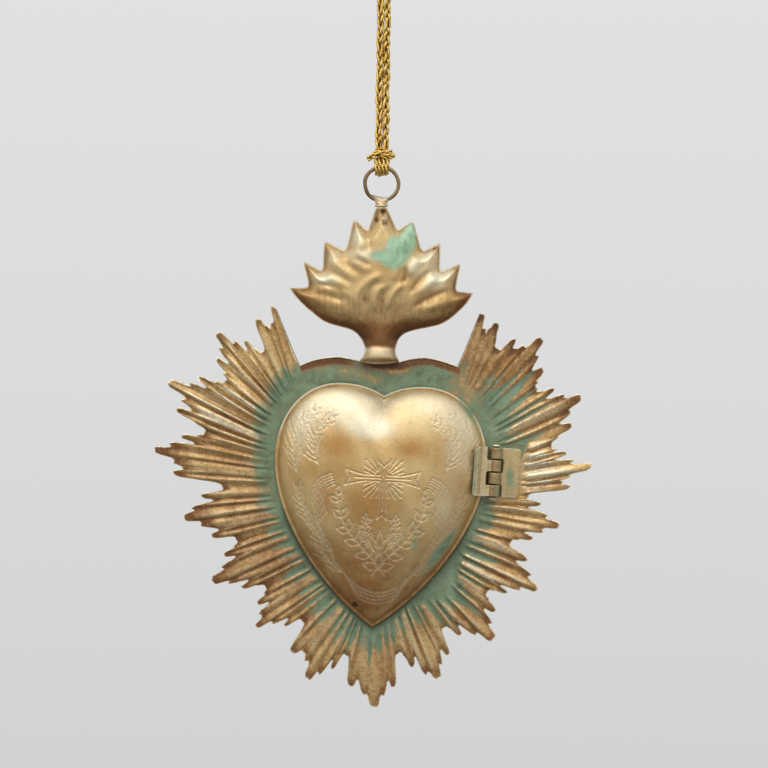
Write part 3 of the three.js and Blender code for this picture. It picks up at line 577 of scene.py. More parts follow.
def plus(tree, base, *parts, clamp=False):
    """A base plus a share of each part. Only the whole sum is clamped."""
    for number, (value, share) in enumerate(parts, 1):
        base = maths(tree, "MULTIPLY_ADD", value, share, base, clamp=clamp and number == len(parts))
    return base


def centred(tree, value, spread):
    """A value from 0 to 1 as one from minus to plus the spread."""
    return maths(tree, "MULTIPLY_ADD", value, 2 * spread, -spread)


def fade(tree, value, low, high, start=0.0, end=1.0):
    """A soft change from start to end, while the value goes from low to high."""
    made = node(tree, "ShaderNodeMapRange", {"interpolation_type": "SMOOTHSTEP"}, Value=value,
                From_Min=low, From_Max=high, To_Min=start, To_Max=end)
    return made.outputs[0]


def blend(tree, share, a, b):
    """A share of the way from one colour to another."""
    made = node(tree, "ShaderNodeMix", {"data_type": "RGBA"})
    for number, value in ((0, share), (6, a), (7, b)):
        plug(tree, made.inputs[number], value)
    return made.outputs[2]


def noise(tree, scale, detail=4.0, roughness=0.55, stretch=(1, 1, 1)):
    where = node(tree, "ShaderNodeTexCoord").outputs["Object"]
    where = node(tree, "ShaderNodeMapping", Vector=where, Scale=stretch).outputs[0]
    made = node(tree, "ShaderNodeTexNoise", Vector=where, Scale=scale, Detail=detail, Roughness=roughness)
    return made.outputs[0]


def painted(tree, mark):
    made = node(tree, "ShaderNodeAttribute", {"attribute_name": mark})
    return made.outputs["Fac"]


def bumped(tree, height, strength, distance):
    return node(tree, "ShaderNodeBump", Strength=strength, Distance=distance, Height=height).outputs[0]


def new_material(name):
    material = bpy.data.materials.new(name)
    material.use_nodes = True
    tree = material.node_tree
    return material, tree, tree.nodes["Principled BSDF"]


# Materials

GILT = srgb(216, 188, 134)
PALE_GILT = srgb(229, 221, 192)
AMBER = srgb(184, 137, 80)
OLD_GILT = srgb(196, 158, 102)
BROWN = srgb(134, 90, 50)
DARK_BROWN = srgb(78, 52, 32)
COPPER = srgb(184, 124, 88)
VERDIGRIS = srgb(112, 144, 116)
PALE_VERDIGRIS = srgb(140, 162, 134)
DEEP_VERDIGRIS = srgb(88, 106, 80)
DIRTY_SHADED_VERDIGRIS = srgb(58, 70, 52)
FLAME_GREEN = srgb(160, 204, 170)
PALE_FLAME_GREEN = srgb(196, 224, 196)
DEEP_FLAME_GREEN = srgb(122, 162, 132)
BRIGHT_THREAD = srgb(255, 228, 142)
WARM_THREAD = srgb(236, 188, 86)
WRAPPED_THREAD = srgb(172, 118, 42)
# The painted shade of the yarns
SHADED_THREAD = srgb(96, 54, 14)
GRAIN_DEPTH = 0.0002
WRAP_DEPTH = 0.0001


def patinated(name, gilt, old, brown, roughness, grain, blotch=0.0, sandy=0.25, streaky=0.0,
              green=VERDIGRIS, pale_green=PALE_VERDIGRIS, deep_green=DEEP_VERDIGRIS):
    """Old gilt metal: cloudy gilding, brown tarnish, verdigris, worn edges and engraved lines, with painted
    highlights and painted shade. The marks painted on the mesh say where, and noise breaks them up."""
    material, tree, shader = new_material(name)
    cloud = noise(tree, scale=55, detail=5)
    patches = noise(tree, scale=170, detail=4)
    spots = noise(tree, scale=420, detail=5, roughness=0.65)
    sand = noise(tree, scale=1100, detail=2, roughness=0.6)
    fine = noise(tree, scale=1500, detail=3)
    streaks = noise(tree, scale=900, detail=3, roughness=0.6, stretch=(1, 1, 0.1))
    specks = fade(tree, noise(tree, scale=2300, detail=2), 0.56, 0.72, 0.0, 0.35)
    cloud_shift = centred(tree, cloud, 0.65)
    patch_shift = centred(tree, patches, 0.7)
    spot_shift = centred(tree, spots, 0.7)
    streak_shift = centred(tree, streaks, streaky)

    gilding = blend(tree, fade(tree, cloud, 0.35, 0.7), gilt, old)
    amber = plus(tree, painted(tree, "amber"), (patch_shift, 0.3))
    gilding = blend(tree, fade(tree, amber, 0.1, 0.9), gilding, AMBER)
    # Wear and painted highlights pale the gilding
    gilding = blend(tree, fade(tree, painted(tree, "wear_and_highlight"), 0.1, 1), gilding, PALE_GILT)
    # Tarnish and painted shade brown the metal
    tarnish_and_shade = maths(tree, "ADD", painted(tree, "tarnish_and_shade"), blotch)
    tarnish_and_shade = plus(tree, tarnish_and_shade, (cloud_shift, 0.5), (patch_shift, 0.35), (streak_shift, 1))
    tarnish_and_shade = fade(tree, plus(tree, tarnish_and_shade, (spot_shift, 0.32)), 0.1, 0.95)
    metal = blend(tree, tarnish_and_shade, gilding, brown)
    metal = blend(tree, fade(tree, sand, 0.5, 0.68, 0.0, sandy), metal, brown)
    metal = blend(tree, fade(tree, sand, 0.46, 0.3, 0.0, 0.7 * sandy), metal, gilt)
    metal = blend(tree, maths(tree, "MULTIPLY", specks, fade(tree, spots, 0.35, 0.65)), metal, DARK_BROWN)
    # Dirt and painted shade darken the metal
    dirt_and_shade = fade(tree, plus(tree, painted(tree, "dirt_and_shade"), (spot_shift, 0.3)), 0.15, 0.9)
    metal = blend(tree, dirt_and_shade, metal, DARK_BROWN)
    metal = blend(tree, painted(tree, "engraved"), metal, PALE_GILT)

    copper_green = painted(tree, "verdigris")
    copper_green = plus(tree, copper_green, (cloud_shift, 0.4), (patch_shift, 0.55), (spot_shift, 0.55))
    copper_green = fade(tree, copper_green, 0.2, 0.85, 0.0, 0.92)
    greens = blend(tree, fade(tree, spots, 0.3, 0.65), deep_green, green)
    greens = blend(tree, fade(tree, patches, 0.4, 0.75, 0.0, 0.7), greens, pale_green)
    # Dirt and painted shade darken the green as well
    greens = blend(tree, maths(tree, "MULTIPLY", dirt_and_shade, 0.8), greens, DIRTY_SHADED_VERDIGRIS)

    metallic = plus(tree, 0.8, (tarnish_and_shade, -0.2), (dirt_and_shade, -0.4), (copper_green, -0.8), clamp=True)
    rough = plus(tree, roughness, (tarnish_and_shade, 0.14), (spot_shift, 0.12), (copper_green, 0.35), clamp=True)
    height = maths(tree, "MULTIPLY", spots, 0.65)
    height = plus(tree, height, (fine, 0.35), (sand, 1.4 * sandy), (streaks, streaky), (copper_green, 0.35))
    colour = blend(tree, copper_green, metal, greens)
    normal = bumped(tree, height, grain, GRAIN_DEPTH)
    feed(tree, shader, Base_Color=colour, Metallic=metallic, Roughness=rough, Normal=normal)
    return material


def thread_material():
    """Gold thread: metallic yarn whose fine wrapping runs round it, turned dark brown as painted shade
    where it lies deep in the cord.
    """
    material, tree, shader = new_material("gold_thread")
    where = node(tree, "ShaderNodeUVMap", {"uv_map": "yarn"}).outputs[0]
    wrap = node(tree, "ShaderNodeTexWave", {"bands_direction": "DIAGONAL"}, Vector=where, Scale=1.6,
                Distortion=1.2, Detail=2.0).outputs["Fac"]
    cloud = noise(tree, scale=600, detail=4)
    shade = blend(tree, fade(tree, cloud, 0.3, 0.7), BRIGHT_THREAD, WARM_THREAD)
    shade = blend(tree, fade(tree, wrap, 0.5, 0.1, 0.0, 0.5), shade, WRAPPED_THREAD)
    # Painted shade turns the yarn dark brown where it lies deep in the cord and along the strands' join
    colour = blend(tree, fade(tree, painted(tree, "dirt_and_shade"), 0.25, 0.7), shade, SHADED_THREAD)
    feed(tree, shader, Base_Color=colour, Metallic=0.85, Roughness=fade(tree, cloud, 0.2, 0.8, 0.2, 0.36),
         Normal=bumped(tree, wrap, 0.8, WRAP_DEPTH))
    return material


lid_gilt = patinated("lid_gilt", GILT, OLD_GILT, srgb(142, 94, 48), roughness=0.48, grain=0.5,
                     sandy=0.15, streaky=0.12)
plate_brass = patinated("plate_brass", srgb(214, 182, 126), srgb(192, 150, 96), srgb(124, 82, 48),
                        roughness=0.46, grain=0.9, sandy=0.42)
flame_gilt = patinated("flame_gilt", GILT, OLD_GILT, BROWN,
                       roughness=0.5, grain=0.5, sandy=0.12, streaky=0.3,
                       green=FLAME_GREEN, pale_green=PALE_FLAME_GREEN, deep_green=DEEP_FLAME_GREEN)
hinge_brass = patinated("hinge_brass", srgb(208, 186, 135), srgb(180, 152, 105), srgb(122, 85, 54),
                        roughness=0.46, grain=0.7, blotch=0.05, sandy=0.3)
pin_copper = patinated("pin_copper", COPPER, srgb(160, 104, 72), DARK_BROWN,
                       roughness=0.4, grain=0.6, blotch=0.1)
ring_brass = patinated("ring_brass", srgb(158, 132, 94), srgb(124, 100, 70), DARK_BROWN,
                       roughness=0.4, grain=0.6, blotch=0.2)
dull_brass = patinated("dull_brass", srgb(176, 140, 92), srgb(150, 112, 70), srgb(98, 66, 42),
                       roughness=0.5, grain=0.8, blotch=0.3, sandy=0.4)
gold_thread = thread_material()


# Camera, at the photograph's viewing angle

CAMERA_PLACE = (1.63, -680, -138.6)
CAMERA_FIELD = 256        # what the frame's width takes in at the depth of the ring
CAMERA_ROLL = 0.73        # degrees
CAMERA_NEAR = 10
CAMERA_FAR = 50000
SENSOR = 36


def make_camera():
    data = bpy.data.cameras.new("camera")
    data.sensor_width = SENSOR
    data.lens = SENSOR * -CAMERA_PLACE[1] / CAMERA_FIELD
    data.clip_start = CAMERA_NEAR * MM
    data.clip_end = CAMERA_FAR * MM
    camera = link("camera", data)
    level = Matrix.Rotation(math.radians(90), 4, "X")
    roll = Matrix.Rotation(math.radians(-CAMERA_ROLL), 4, "Y")
    camera.matrix_world = Matrix.Translation(Vector(CAMERA_PLACE) * MM) @ roll @ level
    bpy.context.scene.camera = camera


make_camera()


# Cord and knot

YARNS = 3
YARN_RADIUS = 0.53
YARN_SWING = 0.74        # how far a yarn goes to each side
YARN_LIFT = 0.4          # how far it goes over and under
PLAIT_PITCH = 11
PLAIT_DRIFT = 0.35       # how unevenly the yarns turn, swing out and thicken
SWING_DRIFT = 0.16
YARN_UNEVEN = 0.1
YARN_SIDES = 9
YARN_STEP = 0.28
FEWEST_STEPS = 8
ROUTE_STEPS = 1200       # points that the cord's smooth route and a knot's turn are worked out at
TURN_STEPS = 400
LOOP_POINTS = 26
LOOP_SQUEEZE = 0.9       # how the loops lie on the wire, stand up into the knot and draw together below
LOOP_STRETCH = 0.7
LOOP_WIDTHS = (0.93, 0.1)
KNOT_ASIDE = 1.1
# How the two strands go into the knot, from their shared place aside
KNOT_LEAD = [(0, -60.3), (0.3, -61.4), (0.4, -62.6), (0.2, -63.6), (-0.5, -64.6)]
KNOT_LEAD_SIZE = 0.98


def frames_along(line):
    """Two cross directions along a line, turning as little as they can."""
    tangents = unit(np.gradient(line, axis=0))
    across = np.cross(tangents[0], (0.3, 1, 0.2))
    firsts = []
    for tangent in tangents:
        across = unit(across - tangent * (across @ tangent))
        firsts.append(across)
    firsts = np.array(firsts)
    return firsts, np.cross(tangents, firsts)


def tube(line, radii):
    """Rings of points round a line, the faces between them and two end caps."""
    first, second = frames_along(line)
    turn = turns(YARN_SIDES)[None, :, None]
    ring = np.cos(turn) * first[:, None] + np.sin(turn) * second[:, None]
    points = line[:, None] + ring * radii[:, None, None]
    return points.reshape(-1, 3), capped_faces(len(line), YARN_SIDES)


def plait(route, size=1.0, smooth=TURN_STEPS):
    """The yarns of a plaited cord along a route: the points and faces of each tube, the distance along it,
    and how deep each point lies, which darkens the yarn as painted shade."""
    line = spline(route, np.linspace(0, 1, smooth))
    line = even(line, max(int(lengths_along(line)[-1] / YARN_STEP), FEWEST_STEPS))
    along = lengths_along(line)
    first, second = frames_along(line)
    middles = np.repeat(line, YARN_SIDES, axis=0)
    drift = PLAIT_DRIFT * wander(along, 13, len(line))
    tubes = []
    for k in range(YARNS):
        angle = 2 * math.pi * (along / PLAIT_PITCH / size + k / YARNS) + drift
        loose = 1 + SWING_DRIFT * wander(along, 9, len(line) + k)
        swing = YARN_SWING * size * loose * np.sin(angle)
        lift = YARN_LIFT * size * np.sin(2 * angle)
        yarn = line + swing[:, None] * first + lift[:, None] * second
        points, faces = tube(yarn, YARN_RADIUS * size * (1 + YARN_UNEVEN * wander(along, 4.3, k)))
        # How deep each point lies in the cord, which the thread's colour turns into painted shade
        deep = 1 - np.linalg.norm(points - middles, axis=1) / (YARN_RADIUS + YARN_SWING) / size
        tubes.append((points, faces, along, deep))
    return tubes


def thread_piece(name, tubes, stands_for):
    """One mesh of all these tubes, with a map that runs along and round each."""
    shells = Shells()
    for points, faces, _, _ in tubes:
        shells.add(points, faces)
    along = np.concatenate([np.repeat(tube_along, YARN_SIDES) for _, _, tube_along, _ in tubes])
    # The depths darken the yarns as painted shade
    marks = {"dirt_and_shade": np.concatenate([deep for _, _, _, deep in tubes])}
    piece = make_piece(name, shells.points, shells.faces, gold_thread, "root", stands_for,
                       marks, sharp=80)
    layer = piece.data.uv_layers.new(name="yarn")
    corners = np.zeros(len(piece.data.loops), int)
    piece.data.loops.foreach_get("vertex_index", corners)
    sides = corners % YARN_SIDES / YARN_SIDES
    layer.data.foreach_set("uv", np.stack([sides, along[corners]], axis=1).ravel())
    return piece


def cord_tubes():
    """The doubled cord, with a painted shadow line where its strands lie against each other."""
    tubes = []
    for points, faces, along, deep in plait(CORD_ROUTE, smooth=ROUTE_STEPS):
        between = hump(points[:, 0], STRAND_GAP) * (points[:, 2] < STRANDS_MEET)
        tubes.append((points, faces, along, deep + STRAND_SHADE * between))
    return tubes


def knot_tubes():
    """The loops over the ring, the ends of the two strands, and the turns of the knot's bar."""
    wire_top = RING_CENTRE + RING_RADIUS
    wrap_radius = WIRE_RADIUS + SEAM + LOOP_SQUEEZE * CORD_RADIUS
    turn = np.linspace(0, 2 * math.pi, LOOP_POINTS)
    above = np.maximum(np.cos(turn), 0)
    below = np.maximum(-np.cos(turn), 0)
    middle, spread = LOOP_WIDTHS
    tubes = []
    for aside, drop in KNOT_LOOPS:
        x = aside * (middle + spread * np.cos(turn))
        z = wire_top + wrap_radius * np.cos(turn) + LOOP_STRETCH * above - drop * below
        tubes += plait(np.stack([x, -wrap_radius * np.sin(turn), z], axis=1), KNOT_LOOP_SIZE)
    for aside in (-KNOT_ASIDE, KNOT_ASIDE):
        tubes += plait([(aside, y, z) for y, z in KNOT_LEAD], KNOT_LEAD_SIZE)
    for points in KNOT_TURNS:
        tubes += plait(np.array(points) + (0, 0, wire_top), KNOT_TURN_SIZE)
    return tubes


def make_cord():
    cord = thread_piece("cord", cord_tubes(), ["cord_loop"])
    knot = thread_piece("cord_knot_wraps", knot_tubes(), ["cord_knot"])


make_cord()


# Heart outline and dome

RIM_SHARE = 1 - LID_RIM / HEART_HALF_WIDTH
OVAL_HALF_WIDTH = HEART_HALF_WIDTH - OVAL_INSET
OVAL_HALF_HEIGHT = 0.5 * (HEART_CLEFT + HEART_TIP)
OUTLINE_CURVE_STEPS = 60
CREASE_DEPTH = 0.9
CREASE_LENGTH = 26
CREASE_WIDTHS = (2.4, 10.0)     # at the cleft and at its lower end


def bezier(start, first, second, end, count):
    t = np.linspace(0, 1, count, endpoint=False)[:, None]
    s = 1 - t
    start, first, second, end = (np.array(p, float) for p in (start, first, second, end))
    return s ** 3 * start + 3 * s ** 2 * t * first + 3 * s * t ** 2 * second + t ** 3 * end


def heart_outline(count):
    """The lid's outline from the cleft round the left lobe, the point and the right lobe."""
    cleft_out = CLEFT_HANDLE * HEART_LOBE_OUT
    lobe_in = LOBE_HANDLE * HEART_LOBE_OUT
    brow = mix(HEART_LOBE_OUT, HEART_HALF_WIDTH, BROW_HANDLE)
    temple = mix(HEART_WIDEST, HEART_LOBE_TOP, TEMPLE_HANDLE)
    cheek = mix(HEART_WIDEST, -HEART_TIP, CHEEK_HANDLE)
    chin_out = CHIN_HANDLE * HEART_HALF_WIDTH
    chin = mix(-HEART_TIP, HEART_WIDEST, CHIN_RISE)
    dip = mix(HEART_CLEFT, HEART_LOBE_TOP, CLEFT_RISE)
    cleft = (0, HEART_CLEFT)
    lobe = (HEART_LOBE_OUT, HEART_LOBE_TOP)
    side = (HEART_HALF_WIDTH, HEART_WIDEST)
    right = np.concatenate([
        bezier((0, -HEART_TIP), (chin_out, chin), (HEART_HALF_WIDTH, cheek), side, count),
        bezier(side, (HEART_HALF_WIDTH, temple), (brow, HEART_LOBE_TOP), lobe, count),
        bezier(lobe, (lobe_in, HEART_LOBE_TOP), (cleft_out, dip), cleft, count),
    ])
    left = np.concatenate([[cleft], right[:0:-1]]) * (-1, 1)
    return np.concatenate([left, right])


def heart_by_angle():
    """The outline's angles in rising order, and its distance from the heart's middle at each."""
    outline = heart_outline(OUTLINE_CURVE_STEPS)
    angles = np.arctan2(outline[:, 1], outline[:, 0])
    order = np.argsort(angles)
    return angles[order], np.linalg.norm(outline, axis=1)[order]


HEART_ANGLES, HEART_REACHES = heart_by_angle()


def heart_reach(x, z):
    """The outline's distance from the heart's middle in the direction of a point."""
    return np.interp(np.arctan2(z, x), HEART_ANGLES, HEART_REACHES, period=2 * math.pi)


def dome_rise(share):
    within = np.minimum(share / RIM_SHARE, 1)
    return DOME_HEIGHT * (1 - within * within) ** DOME_POWER


def crease(x, z):
    """The valley that runs down from the cleft between the lobes."""
    down = np.clip((HEART_CLEFT - z) / CREASE_LENGTH, 0, 1)
    across = hump(x, mix(*CREASE_WIDTHS, down))
    return CREASE_DEPTH * across * (1 - smoothstep(down, 0.1, 1)) * smoothstep(down, -0.1, 0.12)


# Engraving, as lines in the heart's frame

STROKE_STEP = 0.12
STROKE_SMOOTH = 160
ZIGZAG = 0.17            # how far the graver rocked to each side
ZIGZAG_STEPS = 4
CROSS = np.array((1.2, 4.2))
CROSS_SWING = 0.05
CROSS_ARMS = [(0, 12, 2.6), (180, 12.6, 2.6), (90, 5.4, 1.8), (270, 13.5, 1.6)]
CROSS_CORNERS = (45, 135, 225, 315)
CROSS_RAY_TURN = 13
ORNAMENT_MIDDLE = 1.0
SPRAY_MIDDLE = 0.6
STEM_LOOK = 6            # points ahead and behind that a stem's direction is taken from
ENGRAVED_WIDTH = 0.24


def stroke(points, swing=ZIGZAG):
    """A line as the rocking graver cuts it, in a fine zigzag."""
    line = spline(points, np.linspace(0, 1, STROKE_SMOOTH))
    count = max(int(lengths_along(line)[-1] / STROKE_STEP), 3)
    line = even(line, count)
    ahead = unit(np.gradient(line, axis=0))
    rock = swing * np.sin(math.pi * np.arange(count) / ZIGZAG_STEPS)
    return line + rock[:, None] * np.stack([-ahead[:, 1], ahead[:, 0]], axis=1)


def toward(angle, length):
    return length * np.array((math.cos(angle), math.sin(angle)))


def leaf(base, angle, length, width):
    """A pointed leaf as two bowed sides."""
    base = np.array(base, float)
    tip = base + toward(angle, length)
    belly = base + toward(angle, 0.45 * length)
    return [stroke([base, belly + toward(angle + math.pi / 2, side * width), tip]) for side in (1, -1)]


def along_stem(stem, share):
    """A point of a stem and the direction that it has there."""
    at = int(share * (len(stem) - 1))
    ahead = stem[min(at + STEM_LOOK, len(stem) - 1)] - stem[max(at - STEM_LOOK, 0)]
    return stem[at], math.atan2(ahead[1], ahead[0])


def branch(points, leaves, length, width, lean):
    """A stem with leaves on both sides, smaller towards its end."""
    stem = stroke(points)
    lines = [stem]
    for i in range(leaves):
        base, angle = along_stem(stem, (i + 0.6) / leaves)
        size = 1 - 0.45 * i / leaves
        for side in (1, -1):
            lines += leaf(base, angle + side * lean, length * size, width * size)
    base, angle = along_stem(stem, 1)
    return lines + leaf(base, angle, length * 0.6, width * 0.6)


def plume(points, barbs, length, lean):
    """A stem with single curved strokes on both sides, as a feather or palm has."""
    stem = stroke(points)
    lines = [stem]
    for i in range(barbs):
        base, angle = along_stem(stem, (i + 0.3) / barbs)
        size = length * (1 - 0.5 * (i / barbs) ** 2) * (1 + 0.22 * math.sin(2.3 * i + points[0][1]))
        for side in (1, -1):
            bend = base + toward(angle + side * lean, 0.5 * size)
            tip = bend + toward(angle + side * 0.55 * lean, 0.5 * size)
            lines.append(stroke([base, bend, tip]))
    return lines


def mirrored(lines, middle):
    return lines + [line * (-1, 1) + (2 * middle, 0) for line in lines]


def cross_lines():
    """A cross with flared arms, and short rays between them."""
    paths = []
    for arm, length, flare in CROSS_ARMS:
        out = toward(math.radians(arm), 1)
        for side in (np.array((-out[1], out[0])), np.array((out[1], -out[0]))):
            corner = CROSS + out * length + side * flare
            paths.append([CROSS + out + side, CROSS + out * 0.55 * length + side * 1.15, corner])
            paths.append([corner, CROSS + out * (length - 1.6)])
        paths.append([CROSS + out * 0.8, CROSS + out * (length - 3)])
    for corner in CROSS_CORNERS:
        for step in range(-2, 3):
            angle = math.radians(corner + CROSS_RAY_TURN * step)
            paths.append([CROSS + toward(angle, 3.2), CROSS + toward(angle, 8.4 - 0.9 * abs(step))])
    return [stroke(path, CROSS_SWING) for path in paths]


def ornament_lines():
    """Two leafy branches that cross below the cross, with a bud between them."""
    side = branch([(3.2, -28), (-1.5, -22), (-7.5, -16), (-12, -9), (-13.6, -2)], 6, 5.6, 1.35, 0.66)
    side += branch([(-2.6, -18.5), (-4.2, -13.5), (-3.8, -9.5)], 3, 3.6, 0.9, 0.6)
    lines = mirrored(side, ORNAMENT_MIDDLE)
    for angle, length in ((90, 8.5), (62, 7), (118, 7)):
        lines += leaf((ORNAMENT_MIDDLE, -21), math.radians(angle), length, 1.2)
    return lines


def side_sprays():
    """Palm sprays down both sides of the lid."""
    left = plume([(-27.5, 5), (-29.2, 12), (-28, 19), (-22.5, 25.5)], 14, 5.2, 0.6)
    left += plume([(-20.5, 8), (-22.6, 13.5), (-21, 19.5), (-16, 24)], 11, 4.4, 0.65)
    left += plume([(-14.5, -21), (-20, -14.5), (-24.5, -7.5), (-27.5, 0.5)], 14, 4.6, 0.6)
    left += plume([(-11, -27.5), (-16, -23.5), (-20.5, -18)], 8, 3.6, 0.65)
    for i in range(5):
        left.append(stroke([(-15.8 + 0.3 * i, 5.2 - 0.9 * i), (-20.4 + 0.75 * i, 2.6 - 0.7 * i),
                            (-22 + 0.9 * i, -3 - 0.2 * i), (-19.6 + 0.7 * i, -11.5 + 0.9 * i)]))
    return mirrored(left, SPRAY_MIDDLE)


def bottom_arcs():
    """Four arcs, one below the other, above the lid's point."""
    lines = []
    for i in range(4):
        drop = 1.25 * i
        lines.append(stroke([(-10.6 + 0.9 * i, -27.5 - drop), (-5, -32.2 - drop), (0.8, -33.8 - drop),
                             (6.6, -32.2 - drop), (12 - 0.9 * i, -27.5 - drop)]))
    return lines


def engraving(x, z):
    """How deep the lines are cut at each place of the lid. The right-hand side is worn."""
    lines = cross_lines() + ornament_lines() + side_sprays() + bottom_arcs()
    points = np.concatenate(lines)
    steps = np.concatenate([np.arange(len(line)) for line in lines])
    depths = (0.8 + 0.2 * np.sin(0.35 * steps)) * (1 - 0.35 * smoothstep(points[:, 0], 12, 22))
    numbers, away = nearest(x, z, points)
    return np.where(away < 2 * ENGRAVED_WIDTH, hump(away, ENGRAVED_WIDTH) * depths[numbers], 0)


# Heart lid

ENGRAVED_DEPTH = 0.28
PIT_DEPTH = 0.5
PIT_EDGE = 0.15
LID_THIN = 4             # columns of the front for each one behind
LID_FIRST = 0.02         # the innermost row, as a share of the way out
LID_OUTER_FROM = 0.9     # where the closer rows of the lid's outer part start
LID_INNER_ROWS = int(0.8 * LID_ROWS)
LID_DENTS = 0.12
# Places on the lid, in the heart's frame: the middle, the half sizes and how strong
LID_BROWNS = [
    (-15, 14, 6.5, 5, 0.55), (10.8, 14.4, 6, 4.5, 0.55), (-2.6, -4.6, 12, 9, 0.6),
    (-18.4, -4.6, 3.6, 7, 0.45), (0.2, -22.5, 13, 9, 0.4), (1, 7, 6, 4, 0.3), (-1.4, -36.8, 10, 7, 0.4),
]
# Painted highlights where the lobes catch the light
LID_PAINTED_HIGHLIGHTS = [
    (-12.4, 26, 11, 7, 0.65), (-3, 20.5, 8, 5, 0.8), (15.2, 26, 12, 7, 0.4), (26, 14, 7, 9, 0.5),
    (-26, 17, 5, 9, 0.45), (22, -5, 7, 12, 0.42),
]
LID_GREENS = [(12.5, -17, 1.8, 6, 0.6), (10, -24, 1.5, 4, 0.4)]
LID_RIM_GREENS = [(28, 26, 7, 7, 0.9)]
LID_INSIDE = {"tarnish_and_shade": 0.45, "verdigris": 0.1, "wear_and_highlight": 0, "dirt_and_shade": 0.1, "engraved": 0, "amber": 0.2}


def lid_grid():
    """Where the lid's points lie, seen from the front, and their shares of the way out to the outline."""
    inner = np.linspace(LID_FIRST, LID_OUTER_FROM, LID_INNER_ROWS)
    outer = np.linspace(LID_OUTER_FROM, 1, LID_ROWS - LID_INNER_ROWS + 1)[1:]
    shares = np.concatenate([inner, outer])[None, :]
    outline = heart_outline(LID_CURVE_STEPS)
    reach = np.linalg.norm(outline, axis=1)[:, None]
    across, up = np.split(outline / reach, 2, axis=1)
    oval = OVAL_HALF_WIDTH * OVAL_HALF_HEIGHT / np.hypot(OVAL_HALF_HEIGHT * across, OVAL_HALF_WIDTH * up)
    out = shares * mix(oval, reach, smoothstep(shares, OVAL_UNTIL, HEART_FROM))
    return across * out, up * out, shares


def lid_marks(x, z, shares, cut, in_hole):
    """Where the lid is brown, green, dirty, engraved and amber, with painted highlights on its upper part
    and painted shade towards the bottom, along the rim and in the pit.
    """
    # The lid's top, where the light falls, gets painted highlights and a painted shadow line under the
    # rim's lip
    upper = smoothstep(z, 12, 24)
    rim_shadow_line = hump(shares - RIM_SHARE - 0.004, 0.011)
    amber = 1.3 * ovals(x, z, LID_BROWNS)
    # Painted shade: browner towards the bottom and on the rim below the top, with the shadow line under the
    # lip at the top; less brown at the top
    tarnish_and_shade = 0.2 * amber + 0.55 * smoothstep(-z, 0, 36) + 0.1 * smoothstep(shares, 0.9, 1) * (1 - upper)
    tarnish_and_shade += 0.8 * rim_shadow_line * upper + 0.12 * smoothstep(-x, 14, 30) - 0.3 * smoothstep(z, 14, 27)
    strip = hump(shares - 0.88, 0.055) * hump(z + 18.5, 8) * (x > 0)
    verdigris = 1.15 * strip + ovals(x, z, LID_GREENS)
    verdigris += ovals(x, z, LID_RIM_GREENS) * smoothstep(shares, 0.92, 0.97)
    # Painted highlights: bright patches on the lobes, a bright line on the rim's edge at the top and a
    # paler upper dome
    wear_and_highlight = ovals(x, z, LID_PAINTED_HIGHLIGHTS) + 1.1 * smoothstep(shares, 0.987, 0.993) * upper
    wear_and_highlight += 0.4 * upper * smoothstep(shares, 0.7, 0.93) * (1 - rim_shadow_line)
    shaded_rim = smoothstep(shares, RIM_SHARE - 0.004, RIM_SHARE + 0.004) * (1 - smoothstep(z, -8, 10))
    # Painted shade in the pit and on the rim below the top, and the dark line at the rim's seam
    dirt_and_shade = 4 * in_hole + 0.22 * hump(shares - RIM_SHARE, 0.006) + 0.1 * shaded_rim
    return {"tarnish_and_shade": tarnish_and_shade, "verdigris": verdigris, "wear_and_highlight": wear_and_highlight, "dirt_and_shade": dirt_and_shade,
            "engraved": 0.38 * cut, "amber": amber}


def make_lid():
    x, z, shares = lid_grid()
    rise = dome_rise(shares) - crease(x, z) * (1 - smoothstep(shares, 0.93, RIM_SHARE))
    rise += LID_DENTS * wander(x + 0.6 * z, 23, 5) * smoothstep(1 - shares, 0.02, 0.2)
    cut = engraving(x, z)
    hole = np.hypot(x - LID_HOLE[0], z - LID_HOLE[1])
    in_hole = 1 - smoothstep(hole, LID_HOLE_RADIUS - PIT_EDGE, LID_HOLE_RADIUS + PIT_EDGE)
    front_y = LID_REAR - LID_SHEET - rise + ENGRAVED_DEPTH * cut + PIT_DEPTH * in_hole
    front = np.stack([x, front_y, z], axis=2)
    rear = np.stack([x, LID_REAR - rise, z], axis=2)
    points, faces = round_sheet(front, rear, LID_THIN)
    marks = sheet_marks(lid_marks(x, z, shares, cut, in_hole), LID_INSIDE, LID_THIN)
    points = placed(points, heart_frame)
    make_piece("lid_skin", points, faces, lid_gilt, "lid", ["heart_lid"], marks)


make_lid()


# Sunburst plate: its columns

LAST_RAY = len(RAY_TIPS) - 1
FLAT_SIDE_COLUMNS = 12   # on each straight side of the gap at the top
SIDE_RIDGE_FROM = 0.04   # where the fold along such a side starts, as a share of its length
FINGER_WIDTHS = (0.8, 1.2)     # between what the fingers and ridges vary
FINGER_SHIFTS = (-0.025, 0.02)
FINGER_DEPTHS = (-0.05, 0.02)
RIDGE_STRENGTHS = (0.65, 1)
RIDGE_DRIFT = 0.22
SHORTEST_RIDGE = 0.1
SEAT_TRIES = np.linspace(-0.25, 0.9, 231)
TOP_EDGE_STEPS = 50
TONGUE_STEPS = 18

finger_rng = np.random.default_rng(SEED + 1)


def half_ray(side, notch):
    """Half of a ray's edge from its tip to the notch, with fingers that vary in width and place."""
    wide = finger_rng.uniform(*FINGER_WIDTHS)
    shift = finger_rng.uniform(*FINGER_SHIFTS)
    deep = finger_rng.uniform(*FINGER_DEPTHS)
    points = []
    for aside, reach in LONG_FINGER:
        points.append((aside * wide if aside < 0.1 else aside, reach if reach > 0.9 else reach + deep))
    points += [(aside + shift, side + more) for aside, more in SIDE_FINGER]
    points += [(aside, notch + more) for aside, more in NOTCH_EDGE]
    return points


